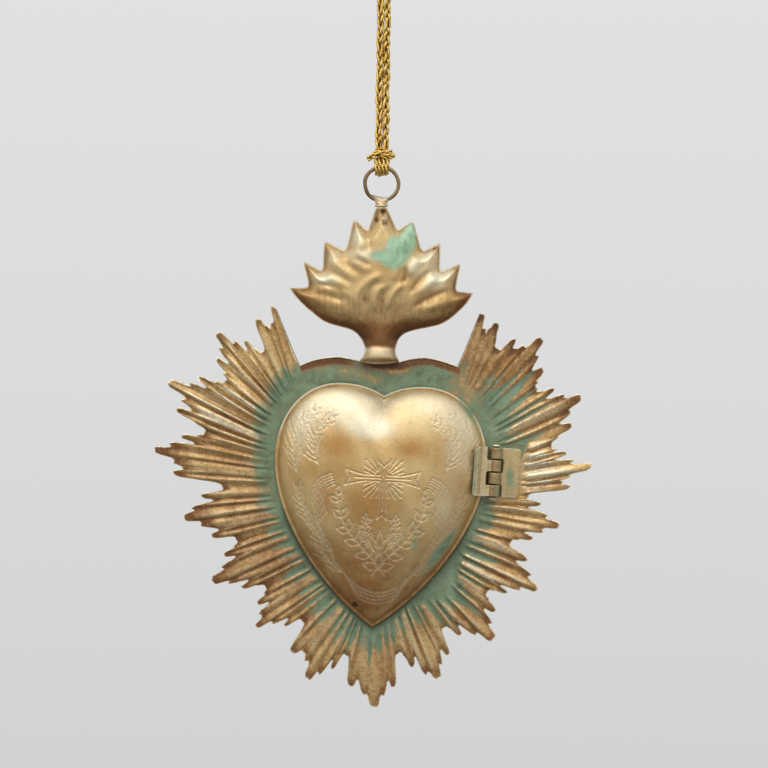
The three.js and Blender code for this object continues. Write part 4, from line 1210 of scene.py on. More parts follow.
def edge_reaches():
    """Places along the rays, and how far the sheet reaches there, as shares of the ray."""
    edge = []
    for ray, (before, after) in enumerate(SIDE_REACHES):
        if ray > 0:
            notch_place, notch_reach = NOTCHES[ray - 1]
            half = half_ray(before, notch_reach)[-2:0:-1]
            edge += [(ray - aside * 2 * (1 - notch_place), reach) for aside, reach in half]
        edge.append((ray, 1))
        if ray < LAST_RAY:
            notch_place, notch_reach = NOTCHES[ray]
            half = half_ray(after, notch_reach)[1:]
            edge += [(ray + aside * 2 * notch_place, reach) for aside, reach in half]
    return np.array(edge).T


def ridge_counts(places):
    """How many ridges lie before each place, with the notches half-way from ray to ray."""
    ray = np.minimum(places.astype(int), len(NOTCHES) - 1)
    share = places - ray
    notch = np.array(NOTCHES)[ray, 0]
    before = 0.5 * share / notch
    after = 1 - 0.5 * (1 - share) / (1 - notch)
    return (ray + np.where(share < notch, before, after)) * RIDGES


def is_seat(x, z, margin):
    """Whether the lid, with a margin round it, or the hinge's leaf lies here."""
    heart_x, heart_z = seen_from(heart_frame, x, z)
    hinge_x, hinge_z = seen_from(hinge_frame, x, z)
    under_lid = np.hypot(heart_x, heart_z) < heart_reach(heart_x, heart_z) + margin
    beside = (hinge_x > -BARREL_RADIUS - BARREL_TO_RIM) & (hinge_x < PLATE_LEAF_WIDTH + SEAT_MARGIN)
    return under_lid | (beside & (abs(hinge_z) < HINGE_LENGTH / 2 + SEAT_MARGIN))


def seat_shares(roots, tips, margins):
    """The last share of each ray's line that lies on a seat, which can be inwards of its root."""
    line = mix(roots[:, None], tips[:, None], SEAT_TRIES[None, :, None])
    seated = is_seat(line[..., 0], line[..., 1], np.broadcast_to(margins, len(line))[:, None])
    last = np.where(seated, SEAT_TRIES, SEAT_TRIES[0]).max(axis=1)
    return np.where(seated.any(axis=1), last, 0)


def plate_columns():
    """The plate's columns, anticlockwise from its first ray: their starts and ends, and how they rise."""
    corner_places, corner_reaches = edge_reaches()
    even_places = np.linspace(0, LAST_RAY, LAST_RAY * PLATE_STEPS + 1)
    places = np.union1d(even_places, np.round(corner_places, 6))
    reach = np.interp(places, corner_places, corner_reaches)
    reach[2:-2] = 0.22 * reach[1:-3] + 0.56 * reach[2:-2] + 0.22 * reach[3:-1]
    reach += 0.006 * wander(places, 0.21, 3) + 0.004 * wander(places, 0.07, 4)
    roots = spline(RAY_ROOTS, places / LAST_RAY)
    tips = spline(RAY_TIPS, places / LAST_RAY)
    count = ridge_counts(places)
    ridges = np.arange(LAST_RAY * RIDGES + 1)
    uneven = np.interp(count, ridges, rng.uniform(*RIDGE_STRENGTHS, len(ridges)))
    waves = np.cos(2 * math.pi * (count + RIDGE_DRIFT * wander(count, 3.7, 21)))

    def by_ray(values):
        return np.interp(places, np.arange(LAST_RAY + 1), values)

    start = np.minimum(seat_shares(roots, tips, by_ray(RIDGE_FROM)), reach - SHORTEST_RIDGE)
    return {
        "places": places, "roots": roots, "tips": tips, "start": start, "reach": reach,
        "crest": (0.5 + 0.5 * waves) ** CREST_POWER, "strength": by_ray(RAY_STRENGTH) * uneven,
        "curl": by_ray(RAY_CURL), "flat_tip": by_ray(RAY_FLAT_TIPS),
    }


def add_flat_side(columns, end, cusp, corner):
    """The columns and those of a smooth strip, from the first or last ray to the gap's straight side."""
    shares = np.linspace(0, 1, FLAT_SIDE_COLUMNS, endpoint=False)
    apart = 1 - shares if end == 0 else 1 - shares[::-1]
    same = ("places", "reach", "strength", "curl", "flat_tip")
    added = {key: np.full(len(apart), columns[key][end]) for key in same}
    added["roots"] = mix(columns["roots"][end], np.array(cusp), apart[:, None])
    added["tips"] = mix(columns["tips"][end], np.array(corner), apart[:, None])
    added["crest"] = columns["crest"][end] * (0.5 + 0.5 * np.cos(2 * math.pi * apart))
    seated = np.minimum(seat_shares(added["roots"], added["tips"], RIDGE_FROM[end]), 0.5)
    added["start"] = mix(seated, np.maximum(seated, SIDE_RIDGE_FROM), apart)
    order = (added, columns) if end == 0 else (columns, added)
    return {key: np.concatenate([part[key] for part in order]) for key in columns}


def top_edge():
    """The plate's upper edge from the right cusp to the left, with the tongue behind the flame's foot."""
    foot = HEART_BELOW_FOOT
    shares = np.linspace(0, 1, TOP_EDGE_STEPS)
    right = spline([RIGHT_CUSP, *TOP_EDGE_RIGHT], shares)[1:]
    left = spline([*TOP_EDGE_LEFT, LEFT_CUSP], shares)[:-1]
    across = np.linspace(TONGUE_HALF_WIDTH, -TONGUE_HALF_WIDTH, TONGUE_STEPS)
    tongue = np.stack([across, np.full(TONGUE_STEPS, foot + TONGUE_HEIGHT)], axis=1)
    first = [(TONGUE_HALF_WIDTH, foot), (TONGUE_HALF_WIDTH, foot + 1)]
    last = [(-TONGUE_HALF_WIDTH, foot + 1), (-TONGUE_HALF_WIDTH, foot)]
    return np.concatenate([right, first, tongue, last, left])


# Sunburst plate: its sheet

PLATE_THIN = 2           # columns of the front for each one behind
TOP_LIP = 3.2            # how far in from the upper edge the rows draw together
TOP_LIP_RISE = 0.35
PLATE_FIRST = 0.08       # the innermost row, as a share of the way to the ridges
IN_SPACING = 1.4         # how the rows draw together towards the ridges and towards the edge
OUT_SPACING = 1.3
PLATE_DENTS = 0.12
EDGE_EASE = 0.25         # how far the cut edge falls back
EDGE_WIDTH = 0.45
EDGE_POINTS = 8000
TOP_PLACE = 8            # a place among the rays for columns that have none
# The painted shadow under the flame's foot
FOOT_PAINTED_SHADOW = [(0.8, 41.7, 4.8, 1.2, 1)]
PLATE_BEHIND = {"tarnish_and_shade": 0.5, "verdigris": 0.15, "wear_and_highlight": 0, "dirt_and_shade": 0.3}


def plate_grid():
    """Where the plate's points lie, seen from the front, and what its columns say about them."""
    columns = plate_columns()
    columns = add_flat_side(columns, 0, LEFT_CUSP, LEFT_CORNER)
    columns = add_flat_side(columns, -1, RIGHT_CUSP, RIGHT_CORNER)
    edge = top_edge()
    brow = edge - 0.9 * np.maximum(edge - (0, HEART_BELOW_FOOT), 0) * (0, 1)
    edge_starts = brow * (1 - TOP_LIP / np.linalg.norm(brow, axis=1))[:, None]
    roots, tips = columns["roots"], columns["tips"]
    starts = np.concatenate([mix(roots, tips, columns["start"][:, None]), edge_starts])
    ends = np.concatenate([mix(roots, tips, columns["reach"][:, None]), edge])
    in_shares = 1 - (1 - PLATE_FIRST) * np.linspace(1, 0, PLATE_ROWS_IN) ** IN_SPACING
    out_shares = 1 - (1 - np.linspace(0, 1, PLATE_ROWS_OUT + 1)[1:]) ** OUT_SPACING
    inner = in_shares[None, :, None] * starts[:, None]
    outer = mix(starts[:, None], ends[:, None], out_shares[None, :, None])
    flat = np.concatenate([inner, outer], axis=1)

    def on_rows(key, rest):
        return np.concatenate([columns[key], np.full(len(edge), rest)])[:, None]

    run = np.concatenate([np.zeros(PLATE_ROWS_IN), out_shares])[None, :]
    start, reach = on_rows("start", 0), on_rows("reach", 1)
    along = start + run * (reach - start)
    return SimpleNamespace(
        x=flat[..., 0], z=flat[..., 1], ends=ends, edge=edge, run=run, along=along, share=along / reach,
        risen=smoothstep(along - start, 0, RIDGE_RISE), is_ray=(np.arange(len(ends)) < len(roots))[:, None],
        places=on_rows("places", TOP_PLACE), crest=on_rows("crest", 0), strength=on_rows("strength", 0),
        curl=on_rows("curl", 0), flat_tip=on_rows("flat_tip", 0),
    )


def plate_relief(grid):
    """How far the ridges, the curled tips, small dents and the upper lip stand forward."""
    flatter = 1 - grid.flat_tip * smoothstep(grid.share, 0.6, 0.97)
    ridge = grid.crest * grid.strength * grid.risen * flatter
    curl = grid.curl * smoothstep(grid.along, 0.7, 1.05) ** 2 * grid.is_ray
    dents = PLATE_DENTS * wander(grid.x + 0.4 * grid.z, 9, 7) * grid.risen * grid.is_ray
    beside_tongue = abs(grid.x) > TONGUE_HALF_WIDTH + 0.1
    lip = TOP_LIP_RISE * smoothstep(grid.run, 0.8, 1) * ~grid.is_ray * beside_tongue
    return RIDGE_HEIGHT * ridge + curl + np.maximum(dents, -ridge) + lip


def plate_zones(grid, from_edge):
    """The parts of the plate that its marks are told apart by."""
    x, z, places = grid.x, grid.z, grid.places
    heart_x, heart_z = seen_from(heart_frame, x, z)
    raised = np.clip(grid.crest * grid.risen, 0, 1)
    open_edge = grid.edge[abs(grid.edge[:, 0]) > TONGUE_HALF_WIDTH][::-1]
    below_top = np.interp(x, *open_edge.T) - z
    top_band = (1 - smoothstep(below_top, 1.6, 3.8)) * smoothstep(27 - abs(x), -1, 1)
    return SimpleNamespace(
        away=np.hypot(heart_x, heart_z) - heart_reach(heart_x, heart_z),
        angle=np.degrees(np.arctan2(heart_z, heart_x)),
        raised=raised,
        valley=1 - raised,
        below=smoothstep(places, 3.6, 4.6) * (1 - smoothstep(places, 11.2, 12.2)) * grid.is_ray,
        upper_right=smoothstep(places, 14.2, 15.4),
        at_tip=smoothstep(grid.share, 0.74, 0.98) * grid.is_ray,
        top_band=top_band * (1 - 0.6 * hump(x + 6.5, 3.5)),
        foot_shadow=ovals(x, z, FOOT_PAINTED_SHADOW),
        # The cut edges: bare metal, made brighter as a painted highlight
        bare_edge_highlight=1 - smoothstep(from_edge, 0.1, EDGE_WIDTH),
    )


def plate_verdigris(grid, zones):
    """Green round the lid, further out in some valleys, and worn away in places."""
    x, z, places = grid.x, grid.z, grid.places
    first, second = VALLEY_GREEN
    patchy = smoothstep(places, second - 0.3, second + 0.3)
    runs_out = np.maximum(smoothstep(places, first - 0.4, first + 0.3) * (1 - patchy), zones.below)
    uneven = mix(0.85 + 0.2 * zones.valley, 0.55 + 0.85 * zones.valley, runs_out)
    uneven = uneven * (1 + 0.2 * wander(places, 1.3, 9))
    reach = np.interp(zones.angle, *np.array(VERDIGRIS_REACH).T) * uneven
    green = smoothstep(reach - zones.away, -5.5, 3.5) * (0.85 - 0.2 * patchy)
    green = green * (1 - 0.8 * zones.below * grid.risen * grid.crest ** 3) + ovals(x, z, PLATE_GREENS)
    green = green * smoothstep(zones.away, -4, -1)
    green = green * (1 + 0.25 * smoothstep(z, 30, 36) * smoothstep(18 - x, 0, 8))
    green = green * (1 - 0.8 * zones.top_band) * (1 - 0.6 * zones.foot_shadow)
    return green * (1 - ovals(x, z, PLATE_BROWNS))


def plate_marks(grid, from_edge):
    """Where the plate is brown, green, dirty and worn, with painted highlights on the crests, the cut edges
    and a few rays, painted shadows along the lid and under the flame's foot, and painted shade in the
    valleys.
    """
    x, z, is_ray = grid.x, grid.z, grid.is_ray
    zones = plate_zones(grid, from_edge)
    sunk = zones.valley * grid.risen
    outside = smoothstep(zones.away, -3, -0.5)
    tarnish_and_shade = 0.25 + 0.5 * zones.at_tip + 0.18 * sunk + 0.5 * zones.top_band
    tarnish_and_shade += np.interp(grid.places, np.arange(len(RAY_BROWN)), RAY_BROWN) * is_ray
    # Dirt with painted shade in the valleys, and the painted shadow under the flame's foot
    dirt_and_shade = 0.4 * grid.strength * sunk ** 2 * is_ray + 0.6 * zones.foot_shadow + 0.22 * zones.top_band
    # A painted shadow line along the lid's edge, and dirty tips at the upper right
    dirt_and_shade += 0.45 * hump(zones.away, 0.8) + 0.5 * zones.upper_right * zones.at_tip
    # Darker in the lower rays next to the lid, more in the valleys
    dirt_and_shade += 0.6 * zones.below * (1 - smoothstep(zones.away, 0, 7)) * mix(0.4, 1, zones.valley)
    dirt_and_shade += 0.26 * smoothstep(z, 27, 38) * (1 - smoothstep(abs(x + 4), 8, 26))
    # Crests rubbed bright with painted highlights on them; painted highlights on the cut edges and a few
    # rays
    wear_and_highlight = 0.7 * grid.strength * zones.raised ** 1.8 * (1 - zones.at_tip) * (1 - 0.8 * zones.upper_right)
    wear_and_highlight += zones.bare_edge_highlight + ovals(x, z, PLATE_PAINTED_HIGHLIGHTS) * is_ray * (1 - zones.at_tip)
    return {
        "tarnish_and_shade": mix(0.3, tarnish_and_shade - 0.7 * zones.bare_edge_highlight, outside), "verdigris": plate_verdigris(grid, zones),
        "wear_and_highlight": wear_and_highlight, "dirt_and_shade": (dirt_and_shade - 0.5 * zones.bare_edge_highlight) * outside,
    }


def make_plate():
    grid = plate_grid()
    used = len(grid.x) - len(grid.x) % PLATE_THIN
    from_edge = nearest(grid.x, grid.z, even(np.concatenate([grid.ends, grid.ends[:1]]), EDGE_POINTS))[1]
    forward = plate_relief(grid)
    eased = EDGE_EASE * (1 - smoothstep(from_edge, 0, EDGE_WIDTH)) ** 2
    level = grid.z + HEART_CENTRE
    front = np.stack([grid.x, PLATE_FRONT - forward + eased, level], axis=2)
    rear = np.stack([grid.x, WALL - forward, level], axis=2)
    points, faces = round_sheet(front[:used], rear[:used], PLATE_THIN)
    marks = {mark: values[:used] for mark, values in plate_marks(grid, from_edge).items()}
    marks = sheet_marks(marks, PLATE_BEHIND, PLATE_THIN)
    make_piece("plate_skin", points, faces, plate_brass, "root", ["sunburst_plate"], marks)


make_plate()


# Flame

TOOTH_TIPS = (2, 4, 6, -3, -5, -7)     # corners of the edge that are tips, without the two outermost
TOOTH_SHARPER = 0.16     # what the rounding of the teeth takes off their tips
TOOTH_ROUNDS = 11
MIDDLE_ROUNDS = 400
TEETH_FROM = 0.5         # from where up the flame its inside follows the teeth
FOOT_SAG = 0.9           # how far the foot's lower edge bows down in the middle
FOOT_TOP = 5.4
FOOT_SWELL = 1.5         # how far the foot swells out below the neck
FOOT_ROUND = 1.3
FLANGE = 0.5             # the flat lip along the flame's edge
LOBE_ROUND = 3.8         # how far in from the lip the lobes round over
RELIEF_SHARE = 0.72
CHASED_POINTS = 40
# Places on the flame, in its own frame: the middle, the half sizes and how strong
FLAME_GREENS = [
    (9.6, 43, 2.6, 4, 0.8), (8.6, 38, 3.4, 4, 0.8), (4, 39, 3, 4, 0.75), (4.8, 33.2, 4, 3.6, 0.8),
    (-1.8, 35.4, 2.8, 1.8, 0.65), (1.4, 34.5, 3, 2.2, 0.5),
]
FLAME_BROWNS = [(-5, 21, 7, 5, 0.2)]
# Painted shade in the dents at the tip and on the third tooth of the right
FLAME_DENT_SHADE = [(0, 48, 3, 3, 1), (17.8, 37.9, 1.4, 1.4, 1)]
# Painted highlights on the lobes and tongues
FLAME_PAINTED_HIGHLIGHTS = [
    (17, 29.5, 5, 4, 0.5), (23, 30.5, 3, 3, 0.3), (20, 25.5, 5, 3, 0.35), (-17, 27.5, 5, 2.5, 0.4),
    (-20, 26.5, 4, 2, 0.4), (-8, 41, 2.5, 3, 0.45), (-16.5, 34.5, 3, 2.5, 0.35), (10.5, 32, 2, 3, 0.4),
    (16, 36, 2.5, 2.5, 0.3), (-4, 35, 5.5, 2.2, 0.4),
]


def smoothed(line, rounds):
    """A line whose inner points are drawn to their neighbours several times."""
    line = line.copy()
    for _ in range(rounds):
        line[1:-1] = 0.25 * line[:-2] + 0.5 * line[1:-1] + 0.25 * line[2:]
    return line


def softened(values, rounds):
    """A grid's values, each drawn to its neighbours' several times."""
    for _ in range(rounds):
        wide = np.pad(values, 1, mode="edge")
        beside = wide[:-2, 1:-1] + wide[2:, 1:-1] + wide[1:-1, :-2] + wide[1:-1, 2:]
        values = 0.5 * values + 0.125 * beside
    return values


def flame_edge():
    """The toothed edge, and a smooth line through its middle that the inside of the flame follows."""
    tip = [(-TIP_HALF_WIDTH, FLAME_HEIGHT), (0, FLAME_HEIGHT), (TIP_HALF_WIDTH, FLAME_HEIGHT)]
    corners = np.array([*FLAME_TEETH_LEFT, *tip, *FLAME_TEETH_RIGHT])
    for i in TOOTH_TIPS:
        corners[i] += TOOTH_SHARPER * (corners[i] - (corners[i - 1] + corners[i + 1]) / 2)
    last = len(corners) - 1
    places = np.linspace(0, last, last * 2 * FLAME_STEPS + 1)
    edge = np.stack([np.interp(places, np.arange(last + 1), corners[:, k]) for k in (0, 1)], axis=1)
    return smoothed(edge, TOOTH_ROUNDS), smoothed(edge, MIDDLE_ROUNDS)


def flame_plan():
    """Where the flame's points lie, seen from the front, and their shares across and up."""
    edge, smooth = flame_edge()
    across = np.linspace(0, 1, len(edge))[:, None]
    up = np.linspace(0, 1, FLAME_ROWS)[None, :]
    left = spline(FLAME_SIDE_LEFT, up[0])
    right = spline(FLAME_SIDE_RIGHT, up[0])
    toothed = smoothstep(up, TEETH_FROM, 1.1) / smoothstep(1, TEETH_FROM, 1.1)
    plan = []
    for k in (0, 1):
        sides = mix(left[None, :, k], right[None, :, k], across)
        low = mix(FLAME_SIDE_LEFT[0][k], FLAME_SIDE_RIGHT[0][k], across)
        high = mix(edge[0, k], edge[-1, k], across)
        ends = mix(low, smooth[:, k:k + 1], up) + (edge - smooth)[:, k:k + 1] * toothed
        plan.append(sides + ends - mix(low, high, up))
    plan[1] -= FOOT_SAG * 4 * across * (1 - across) * (1 - smoothstep(up, 0, 0.1))
    return *plan, across, up


def stroke_relief(x, z):
    """The chased tongues and grooves, each fading at its ends."""
    relief = np.zeros_like(x)
    flat = np.stack([x.ravel(), z.ravel()], axis=1)
    last = CHASED_POINTS - 1
    for height, width, line in FLAME_STROKES:
        points = even(spline(line, np.linspace(0, 1, 60)), CHASED_POINTS)
        gaps = np.linalg.norm(flat[:, None] - points[None], axis=2)
        number = gaps.argmin(axis=1)
        ends = smoothstep(np.minimum(number, last - number) / last, 0, 0.22)
        relief += (height * ends * hump(gaps.min(axis=1), width)).reshape(x.shape)
    return relief


def flame_body(z, away, across, up):
    """How far the flame's belly, neck, foot and tip stand forward."""
    inward = np.clip((away - FLANGE) / LOBE_ROUND, 0, 1)
    rounding = softened(1 - (1 - inward) ** 1.7, 10) * smoothstep(away, 0.2, 1.0)
    aside = abs(2 * across - 1)
    around = np.sqrt(np.maximum(1 - aside * aside, 0))
    belly = BELLY_DEPTH * (1 - 0.45 * up ** BELLY_EDGE)
    neck = mix(FOOT_DEPTH, NECK_DEPTH, smoothstep(up, 0, NECK_UP))
    depth = mix(neck, belly, smoothstep(up, BELLY_FROM, BELLY_FULL))
    rise = depth * (0.35 + 0.65 * around ** SIDE_POWER) * rounding
    under = np.sqrt(np.clip(1 - (1 - z / FOOT_ROUND) ** 2, 0.02, 1))
    swell = np.sin(0.5 * math.pi * np.clip((FOOT_TOP - z) / (FOOT_TOP - FOOT_ROUND), 0, 1)) ** 0.8
    bulb = (NECK_DEPTH + FOOT_SWELL * swell) * around * np.where(z < FOOT_ROUND, under, 1)
    rise = mix(bulb, rise, smoothstep(z, FOOT_TOP - 1.6, FOOT_TOP + 2.4))
    tip = TIP_DEPTH * np.maximum(1 - (aside / TIP_WIDTH) ** 2, 0) * smoothstep(up, TIP_FROM, 1)
    return np.maximum(rise, tip)


def flame_relief(x, z, away):
    """The chased relief, stronger on the right and at the tip, and gone at the edge."""
    strong = RELIEF_SHARE * mix(0.75, 1.1, smoothstep(x, -6, 8)) * (1 + 0.8 * smoothstep(z, 43, 46))
    return strong * softened(stroke_relief(x, z), 5) * smoothstep(away, 0.3, 1.3)


def flame_marks(x, z, relief, away):
    """Where the flame is brown, green and dirty, with painted shade on the neck, under the belly, low down,
    near the edge and in the grooves and dents, and painted highlights on the crests, the lip, the foot and
    the upper part.
    """
    # Painted shade on the neck and under the belly, where the flame overhangs
    neck = hump(z - 8.5, 3.6)
    under = (1 - smoothstep(z - 0.36 * abs(x), 4.5, 10.5)) * smoothstep(z, 6, 9)
    under = under * (1 - smoothstep(abs(x), 13, 24))
    foot = smoothstep(5.6 - z, 0, 1.6)
    # The lip is painted bright as a highlight, but not at the foot, where it lies in shade; the band inside
    # it is browner, partly as painted shade
    lip = (1 - smoothstep(away, 0.25, 0.5)) * smoothstep(z, 0.5, 3)
    border = 1 - smoothstep(away, 0.8, 2.8)
    groove = np.clip(-relief, 0, 1)
    crest = np.clip(relief, 0, 1)
    # Darker lower down, as painted shade
    low = 1 - smoothstep(z, 11, 29)
    dent_shade = ovals(x, z, FLAME_DENT_SHADE)
    # Painted shade browns the neck, the underside, the lower part, the border and the grooves; the crests
    # are less brown
    tarnish_and_shade = 0.1 + (0.6 * neck + 0.5 * under + 0.45 * low) * (1 - foot) + 0.35 * border
    tarnish_and_shade += 0.5 * groove - 0.2 * crest + 0.25 * smoothstep(abs(x), 22, 29) + ovals(x, z, FLAME_BROWNS)
    # Painted shade darkens the neck, the underside, the crease at the foot's top, the grooves, the dents
    # and the border
    dirt_and_shade = (0.26 * neck + 0.36 * under) * (1 - foot) + 0.18 * hump(z - 5.2, 0.8) + 0.25 * groove
    dirt_and_shade += 0.8 * groove * dent_shade + 0.15 * dent_shade + 0.2 * border
    # Crests rubbed bright with painted highlights; painted highlights on the lip, the foot, the upper part
    # and the bright patches
    wear_and_highlight = 0.5 * crest * (1 - low) + lip + 0.55 * foot + 0.2 * smoothstep(z, 26, 36)
    wear_and_highlight += ovals(x, z, FLAME_PAINTED_HIGHLIGHTS)
    verdigris = np.minimum(ovals(x, z, FLAME_GREENS), 1.1)
    return {"tarnish_and_shade": tarnish_and_shade * (1 - 0.6 * lip), "verdigris": verdigris * (1 - lip), "wear_and_highlight": wear_and_highlight,
            "dirt_and_shade": dirt_and_shade * (1 - lip)}


def walled(front, faces, rim, back):
    """A front closed behind by a wall from its rim to a flat back."""
    first = len(front)
    faces = list(faces)
    for i, corner in enumerate(rim):
        after = (i + 1) % len(rim)
        faces.append((corner, first + i, first + after, rim[after]))
    faces.append(tuple(range(first, first + len(rim))))
    return np.concatenate([front, back]), faces


def make_flame():
    x, z, across, up = flame_plan()
    rim = grid_rim(len(x), FLAME_ROWS)
    away = nearest(x, z, np.stack([x.ravel()[rim], z.ravel()[rim]], axis=1))[1]
    relief = flame_relief(x, z, away)
    rise = np.maximum(flame_body(z, away, across, up) + relief, 0)
    front = np.stack([x, FLAME_REAR - FLAME_SHEET - rise, z + FLAME_FOOT], axis=2).reshape(-1, 3)
    outline = front[rim] * (1, 0, 1)
    points, faces = walled(front, grid_faces(len(x), FLAME_ROWS), rim, outline + (0, FLAME_REAR, 0))
    marks = {}
    for mark, values in flame_marks(x, z, relief, away).items():
        marks[mark] = np.concatenate([values.ravel(), values.ravel()[rim]])
    make_piece("flame_skin", points, faces, flame_gilt, "root", ["flame_front"], marks)

    sheet_rim = list(range(len(rim)))
    sheet_front = outline + (0, FLAME_REAR + SEAM, 0)
    sheet_back = sheet_front + (0, FLAME_BACK_SHEET, 0)
    points, faces = walled(sheet_front, [tuple(sheet_rim)[::-1]], sheet_rim, sheet_back)
    make_piece("flame_rear_sheet", points, faces, dull_brass, "root", ["flame_back"])


make_flame()


# Ring and its solder

RING_STEPS = 120
RING_SIDES = 20
STEM_RINGS = 6
SOLDER_ROWS = 26
SOLDER_SIDES = 40
# The solder's half width and half depth at shares of its height
SOLDER_WIDE = [(0, 2.25), (0.3, 1.95), (0.55, 2.05), (0.75, 2.6), (0.9, 3.3), (1, 3.9)]
SOLDER_DEEP = [(0, 2.0), (0.3, 1.6), (0.7, 1.3), (1, 0.95)]


def make_ring():
    """A wire bent into a slightly uneven ring, with its straight stem. Its lowest part is painted paler as
    a highlight.
    """
    turn = turns(RING_STEPS)[:, None]
    around = turns(RING_SIDES)[None, :]
    wire = 0.8 * WIRE_RADIUS * (1 + 0.06 * wander(turn, 2.1, 13))
    radius = RING_RADIUS + 0.08 + 0.1 * wander(turn, 3.3, 14) + wire * np.cos(around)
    x, z = radius * np.sin(turn), RING_CENTRE + radius * np.cos(turn)
    ring = np.stack([x, wire * np.sin(around), z], axis=2).reshape(-1, 3)
    top = RING_CENTRE - RING_RADIUS
    levels = np.linspace(top, top - STEM_LENGTH, STEM_RINGS)
    stem = lathe_points([(WIRE_RADIUS, level) for level in levels], RING_SIDES)
    faces = ring_faces(RING_STEPS, RING_SIDES, closed=True, turned=True)
    faces += ring_faces(STEM_RINGS, RING_SIDES, first=len(ring), turned=True)
    # A painted highlight on the ring's lowest part, and the rest a little darker
    low = np.repeat(hump(turn[:, 0] - math.pi, 0.7), RING_SIDES)
    plain = np.zeros(len(stem))
    marks = {"wear_and_highlight": np.concatenate([0.5 * low, plain]), "dirt_and_shade": np.concatenate([0.2 * (1 - low), plain])}
    make_piece("ring_wire", np.concatenate([ring, stem]), faces, ring_brass, "root",
               ["hanging_ring"], marks)


def make_solder():
    """The solder that holds the ring to the flame's tip, drawn up along the wire on both sides."""
    foot = RING_CENTRE - RING_RADIUS - WIRE_RADIUS - FERRULE_SHOW + SEAM
    top = RING_CENTRE - RING_RADIUS + 0.7 * WIRE_RADIUS
    up = np.linspace(0, 1, SOLDER_ROWS)[:, None]
    turn = turns(SOLDER_SIDES)[None, :]
    lump = 1 + 0.05 * wander(turn + 3 * up, 2.2, 17)
    x = np.interp(up, *np.transpose(SOLDER_WIDE)) * np.cos(turn) * lump
    y = np.interp(up, *np.transpose(SOLDER_DEEP)) * np.sin(turn) * lump
    climb = RING_RADIUS - np.sqrt(np.maximum(RING_RADIUS ** 2 - x ** 2, 0))
    z = mix(foot, top, up) + climb * smoothstep(up, 0.35, 1)
    points = np.stack([x, y, z], axis=2).reshape(-1, 3)
    faces = capped_faces(SOLDER_ROWS, SOLDER_SIDES)
    marks = {"wear_and_highlight": np.full(len(points), 0.45)}
    make_piece("ring_solder", points, faces, hinge_brass, "root", ["ring_ferrule"], marks,
               sharp=70)


make_ring()
make_solder()


# Hinge

KNUCKLE_LENGTH = (HINGE_LENGTH - (KNUCKLES - 1) * KNUCKLE_GAP) / KNUCKLES
KNUCKLE_PITCH = KNUCKLE_LENGTH + KNUCKLE_GAP
KNUCKLE_EASE = 0.25      # the eased ends of a knuckle
KNUCKLE_SHORT = 0.1      # what a knuckle lacks at each end
WEB_FROM = 0.6           # where the sheet that joins a knuckle to its leaf starts, and how far it goes in
WEB_OVERLAP = 0.1
PLATE_WEB_INSET = 0.02   # how far that sheet lies inside the knuckle's outer side
LID_WEB_INSET = 0.5
BEVEL_WIDTH = 0.12
BEVEL_STEPS = 2
BEVEL_FROM = 50          # degrees
BORE_RADIUS = PIN_RADIUS + SEAM
LEAF_START = BARREL_RADIUS + KNUCKLE_GAP
LEAF_STEPS = 40
LEAF_LEVELS = 24
LATHE_SIDES = 48
PIN_SIDES = 36
PIN_HEAD_EDGE = 0.12     # the straight edge of a pin head, under its dome
PIN_HEAD_STEPS = 9
PIN_HEAD_TURN = 84       # degrees from the head's edge to the last ring of its dome
LEAF_GREENS = [(5.4, -1.5, 1.5, 4.5, 1)]


def leaf_strip(shells, middles, round_top, round_bottom):
    """A leaf along a line of its middle depth, with its far corners rounded."""
    middles = even(np.array(middles, float), LEAF_STEPS)
    ahead = unit(np.gradient(middles, axis=0))
    normal = np.stack([-ahead[:, 1], ahead[:, 0]], axis=1) * LEAF_SHEET / 2
    along = lengths_along(middles)
    left = along[-1] - along

    def corner(radius):
        within = np.clip(radius - left, 0, radius)
        return radius - np.sqrt(np.maximum(radius ** 2 - within ** 2, 0))

    top = HINGE_LENGTH / 2 - corner(round_top)
    bottom = -HINGE_LENGTH / 2 + corner(round_bottom)
    heights = mix(bottom[:, None], top[:, None], np.linspace(0, 1, LEAF_LEVELS)[None, :])
    skins = []
    for side in (1, -1):
        across, depth = np.split(middles + side * normal, 2, axis=1)
        skins.append(np.stack([across + 0 * heights, depth + 0 * heights, heights], axis=2).reshape(-1, 3))
    second = LEAF_STEPS * LEAF_LEVELS
    faces = grid_faces(LEAF_STEPS, LEAF_LEVELS) + grid_faces(LEAF_STEPS, LEAF_LEVELS, second, turned=True)
    rim = grid_rim(LEAF_STEPS, LEAF_LEVELS)
    for a, b in zip(rim, rim[1:] + rim[:1]):
        faces.append((b, a, second + a, second + b))
    shells.add(np.concatenate(skins), faces)


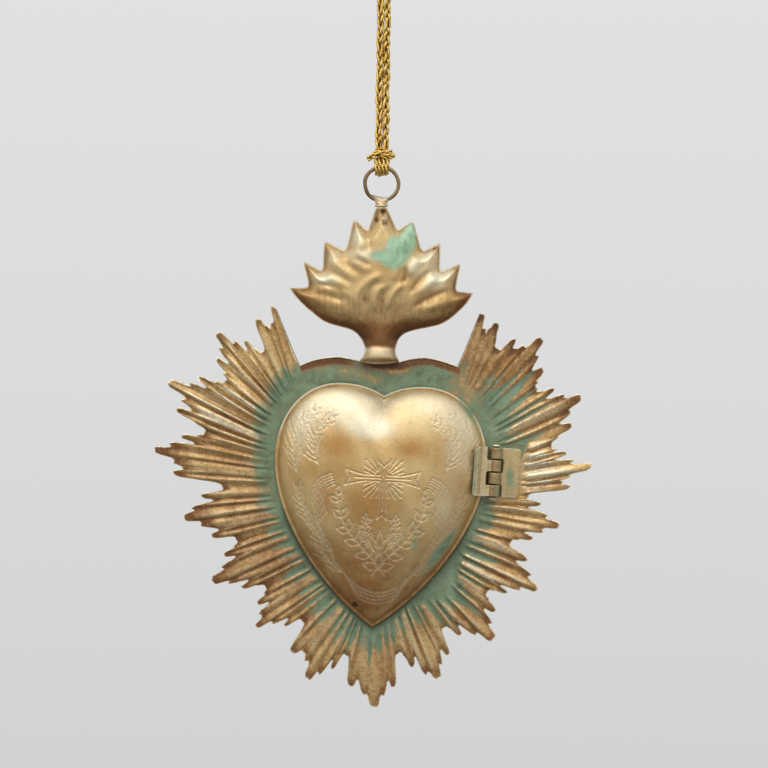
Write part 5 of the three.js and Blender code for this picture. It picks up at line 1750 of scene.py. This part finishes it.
def knuckle(shells, number, web_depth, side):
    """A rolled knuckle with eased ends, numbered from the top, and the sheet that joins it to its leaf."""
    bottom = HINGE_LENGTH / 2 - number * KNUCKLE_PITCH - KNUCKLE_LENGTH + KNUCKLE_SHORT
    top = bottom + KNUCKLE_LENGTH - 2 * KNUCKLE_SHORT
    inner, outer, ease = BORE_RADIUS, BARREL_RADIUS, KNUCKLE_EASE
    profile = [
        (inner, bottom + ease), (inner + ease, bottom), (outer - ease, bottom), (outer, bottom + ease),
        (outer, top - ease), (outer - ease, top), (inner + ease, top), (inner, top - ease),
    ]
    shells.add(lathe_points(profile, LATHE_SIDES), ring_faces(len(profile), LATHE_SIDES, closed=True))
    front, rear = web_depth
    near, far = WEB_FROM * side, (LEAF_START + WEB_OVERLAP) * side
    outline = ((near, front), (far, front), (far, rear), (near, rear))
    corners = [(x, y, z) for z in (bottom, top) for x, y in outline]
    faces = [(0, 1, 2, 3), (7, 6, 5, 4), (0, 4, 5, 1), (1, 5, 6, 2), (2, 6, 7, 3), (3, 7, 4, 0)]
    shells.add(corners, faces if side < 0 else [face[::-1] for face in faces])


def hinge_piece(name, shells, material, body, node_name, marks):
    """A piece of the hinge, with its edges eased."""
    points = placed(shells.points, hinge_frame)
    piece = make_piece(name, points, shells.faces, material, body, [node_name], marks)
    bevel = piece.modifiers.new("eased_edges", "BEVEL")
    bevel.width = BEVEL_WIDTH * MM
    bevel.segments = BEVEL_STEPS
    bevel.limit_method = "ANGLE"
    bevel.angle_limit = math.radians(BEVEL_FROM)


def leaf_marks(shells, first_knuckle):
    """Painted shade in the gaps beside the other leaf's knuckles and on the knuckles' rolled sides, green
    and brown patches, bright edges, and painted highlights on the knuckles' ends.
    """
    x, y, z = np.array(shells.points).T
    outer = smoothstep(-x, LID_LEAF_WIDTH - 1.0, LID_LEAF_WIDTH - 0.6)
    barrel = np.hypot(x, y) < BARREL_RADIUS + 0.05
    level = (HINGE_LENGTH / 2 - z) / KNUCKLE_PITCH
    own = np.floor(level).astype(int) % 2 == first_knuckle
    # Painted shade in the gaps beside the other leaf's knuckles and on the knuckles' rolled sides
    gap = hump(abs(x) - LEAF_START, 0.4) * ~own * ~barrel
    ends = barrel * (1 - smoothstep(abs(level % 1 - 0.46), 0.36, 0.46))
    rolled = barrel * smoothstep(abs(x), 0.7 * BARREL_RADIUS, BARREL_RADIUS)
    verdigris = 0.22 + 0.5 * ovals(x, z, LEAF_GREENS) + 0.4 * outer
    flat_wear = 0.2 + 0.2 * (x < 0) + 0.4 * smoothstep(abs(z), 7.6, 8.2)
    return {
        "verdigris": verdigris + 0.25 * barrel * (x > 0.5) - 0.2 * barrel * (x < 0),
        "dirt_and_shade": 1.2 * gap + 0.7 * rolled,
        "tarnish_and_shade": 0.1 + 0.5 * ends,
        # The knuckles' eased ends are painted bright as highlights
        "wear_and_highlight": flat_wear * ~barrel + 0.5 * (barrel - ends) + 0.3 * outer,
    }


def make_plate_leaf():
    """The leaf on the plate, flat, with the first and third knuckle."""
    shells = Shells()
    middle = BARREL_RADIUS - LEAF_SHEET / 2
    leaf_strip(shells, [(LEAF_START, middle), (PLATE_LEAF_WIDTH, middle)], round_top=0.9, round_bottom=1.3)
    for number in range(0, KNUCKLES, 2):
        knuckle(shells, number, (BARREL_RADIUS - LEAF_SHEET, BARREL_RADIUS - PLATE_WEB_INSET), 1)
    marks = leaf_marks(shells, 0)
    hinge_piece("hinge_plate_leaf", shells, hinge_brass, "root", "plate_leaf", marks)


def make_lid_leaf():
    """The leaf on the lid, bent down to the dome, with the second and fourth knuckle."""
    shells = Shells()
    edge_share = 1 - (LID_LEAF_WIDTH - BARREL_RADIUS - BARREL_TO_RIM) / HEART_HALF_WIDTH
    dome_front = LID_REAR - LID_SHEET - dome_rise(edge_share) - PIN_PLACE.y
    middle = -BARREL_RADIUS + LEAF_SHEET / 2
    edge = min(dome_front - LID_LEAF_SEAM, -BARREL_RADIUS + LEAF_SHEET) - LEAF_SHEET / 2
    bend = [
        (-LEAF_START, middle), (-LID_LEAF_BEND + 0.5, middle),
        (-LID_LEAF_BEND - 0.1, mix(middle, edge, 0.5)), (-LID_LEAF_WIDTH + 0.9, edge - 0.05),
        (-LID_LEAF_WIDTH + 0.45, edge - 0.25), (-LID_LEAF_WIDTH, edge - 0.7),
    ]
    leaf_strip(shells, bend, round_top=2.2, round_bottom=0.5)
    for number in range(1, KNUCKLES, 2):
        knuckle(shells, number, (-BARREL_RADIUS + LID_WEB_INSET, -BARREL_RADIUS + LEAF_SHEET), -1)
    marks = leaf_marks(shells, 1)
    hinge_piece("hinge_lid_leaf", shells, hinge_brass, "lid", "lid_leaf", marks)


def make_pin():
    """The pin, with a domed head at each end."""
    shank = HINGE_LENGTH / 2 + SEAM
    head = [(PIN_RADIUS, shank)]
    for angle in np.radians(np.linspace(0, PIN_HEAD_TURN, PIN_HEAD_STEPS)):
        dome = (PIN_HEAD - PIN_HEAD_EDGE) * math.sin(angle)
        head.append((PIN_HEAD_RADIUS * math.cos(angle), shank + PIN_HEAD_EDGE + dome))
    profile = [(r, -h) for r, h in head[::-1]] + head
    shells = Shells()
    shells.add(lathe_points(profile, PIN_SIDES), capped_faces(len(profile), PIN_SIDES))
    # The heads are painted bright, and the shank dark as painted shade where it shows between them and the
    # knuckles
    out = smoothstep(abs(np.array(shells.points)[:, 2]), shank, shank + 0.2)
    marks = {"wear_and_highlight": 1.1 * out, "dirt_and_shade": 1 - out}
    hinge_piece("hinge_rivet", shells, pin_copper, "root", "hinge_pin", marks)


make_plate_leaf()
make_lid_leaf()
make_pin()

# The one solid that stays, with a finished material
for slot in frame["nodes"]["locating_band"].material_slots:
    slot.material = dull_brass


# Stage and light

FLOOR_BELOW = 200        # from the plate's lowest tip to the floor
FLOOR_RADIUS = 3000
FLOOR_SIDES = 64
FLOOR_SHADE = (0.78, 0.78, 0.77, 1)
FLOOR_FADE = (0.25, 0.6)     # metres from the middle, where the floor starts and ends to be seen through
# Shares of the way up the sky, with the grey level at each
SKY = [(0, 0.12), (0.25, 0.22), (0.4, 0.64), (0.5, 0.71), (1, 0.95)]
LAMP_PLACE = (-0.1, -0.6, 0.7)
LAMP_AIM = (0, 0, -0.15)
LAMP_SIZE = (1.3, 0.8)
LAMP_WATTS = 5.6


def floor_material():
    """Pale and dull, and seen through further out."""
    material, tree, shader = new_material("pale_floor")
    feed(tree, shader, Base_Color=FLOOR_SHADE, Roughness=0.8)
    where = node(tree, "ShaderNodeTexCoord").outputs["Object"]
    apart = node(tree, "ShaderNodeVectorMath", {"operation": "LENGTH"})
    plug(tree, apart.inputs[0], where)
    both = node(tree, "ShaderNodeMixShader", Fac=fade(tree, apart.outputs["Value"], *FLOOR_FADE))
    plug(tree, both.inputs[1], shader.outputs[0])
    plug(tree, both.inputs[2], node(tree, "ShaderNodeBsdfTransparent").outputs[0])
    feed(tree, tree.nodes["Material Output"], Surface=both.outputs[0])
    return material


def make_floor():
    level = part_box("sunburst_plate")[0].z / MM - FLOOR_BELOW
    points = lathe_points([(FLOOR_RADIUS, level)], FLOOR_SIDES)
    floor = link("floor", new_mesh("floor", points, [tuple(range(FLOOR_SIDES))], floor_material()))


def make_sky():
    world = bpy.data.worlds.new("studio")
    world.use_nodes = True
    bpy.context.scene.world = world
    tree = world.node_tree
    way = node(tree, "ShaderNodeTexCoord").outputs["Generated"]
    height = node(tree, "ShaderNodeSeparateXYZ", Vector=way).outputs["Z"]
    ramp = node(tree, "ShaderNodeValToRGB", Fac=maths(tree, "MULTIPLY_ADD", height, 0.5, 0.5))
    stops = ramp.color_ramp.elements
    for place, _ in SKY[1:-1]:
        stops.new(place)
    for stop, (_, level) in zip(stops, SKY):
        stop.color = (level, level, level, 1)
    feed(tree, tree.nodes["Background"], Color=ramp.outputs[0])


def make_lamp():
    lamp = bpy.data.lights.new("softbox", "AREA")
    lamp.shape = "RECTANGLE"
    lamp.size, lamp.size_y = LAMP_SIZE
    lamp.energy = LAMP_WATTS
    softbox = link("softbox", lamp)
    softbox.location = LAMP_PLACE
    aim = Vector(LAMP_AIM) - softbox.location
    softbox.rotation_euler = aim.to_track_quat("-Z", "Y").to_euler()


make_floor()
make_sky()
make_lamp()
bpy.context.scene.view_settings.view_transform = "Standard"
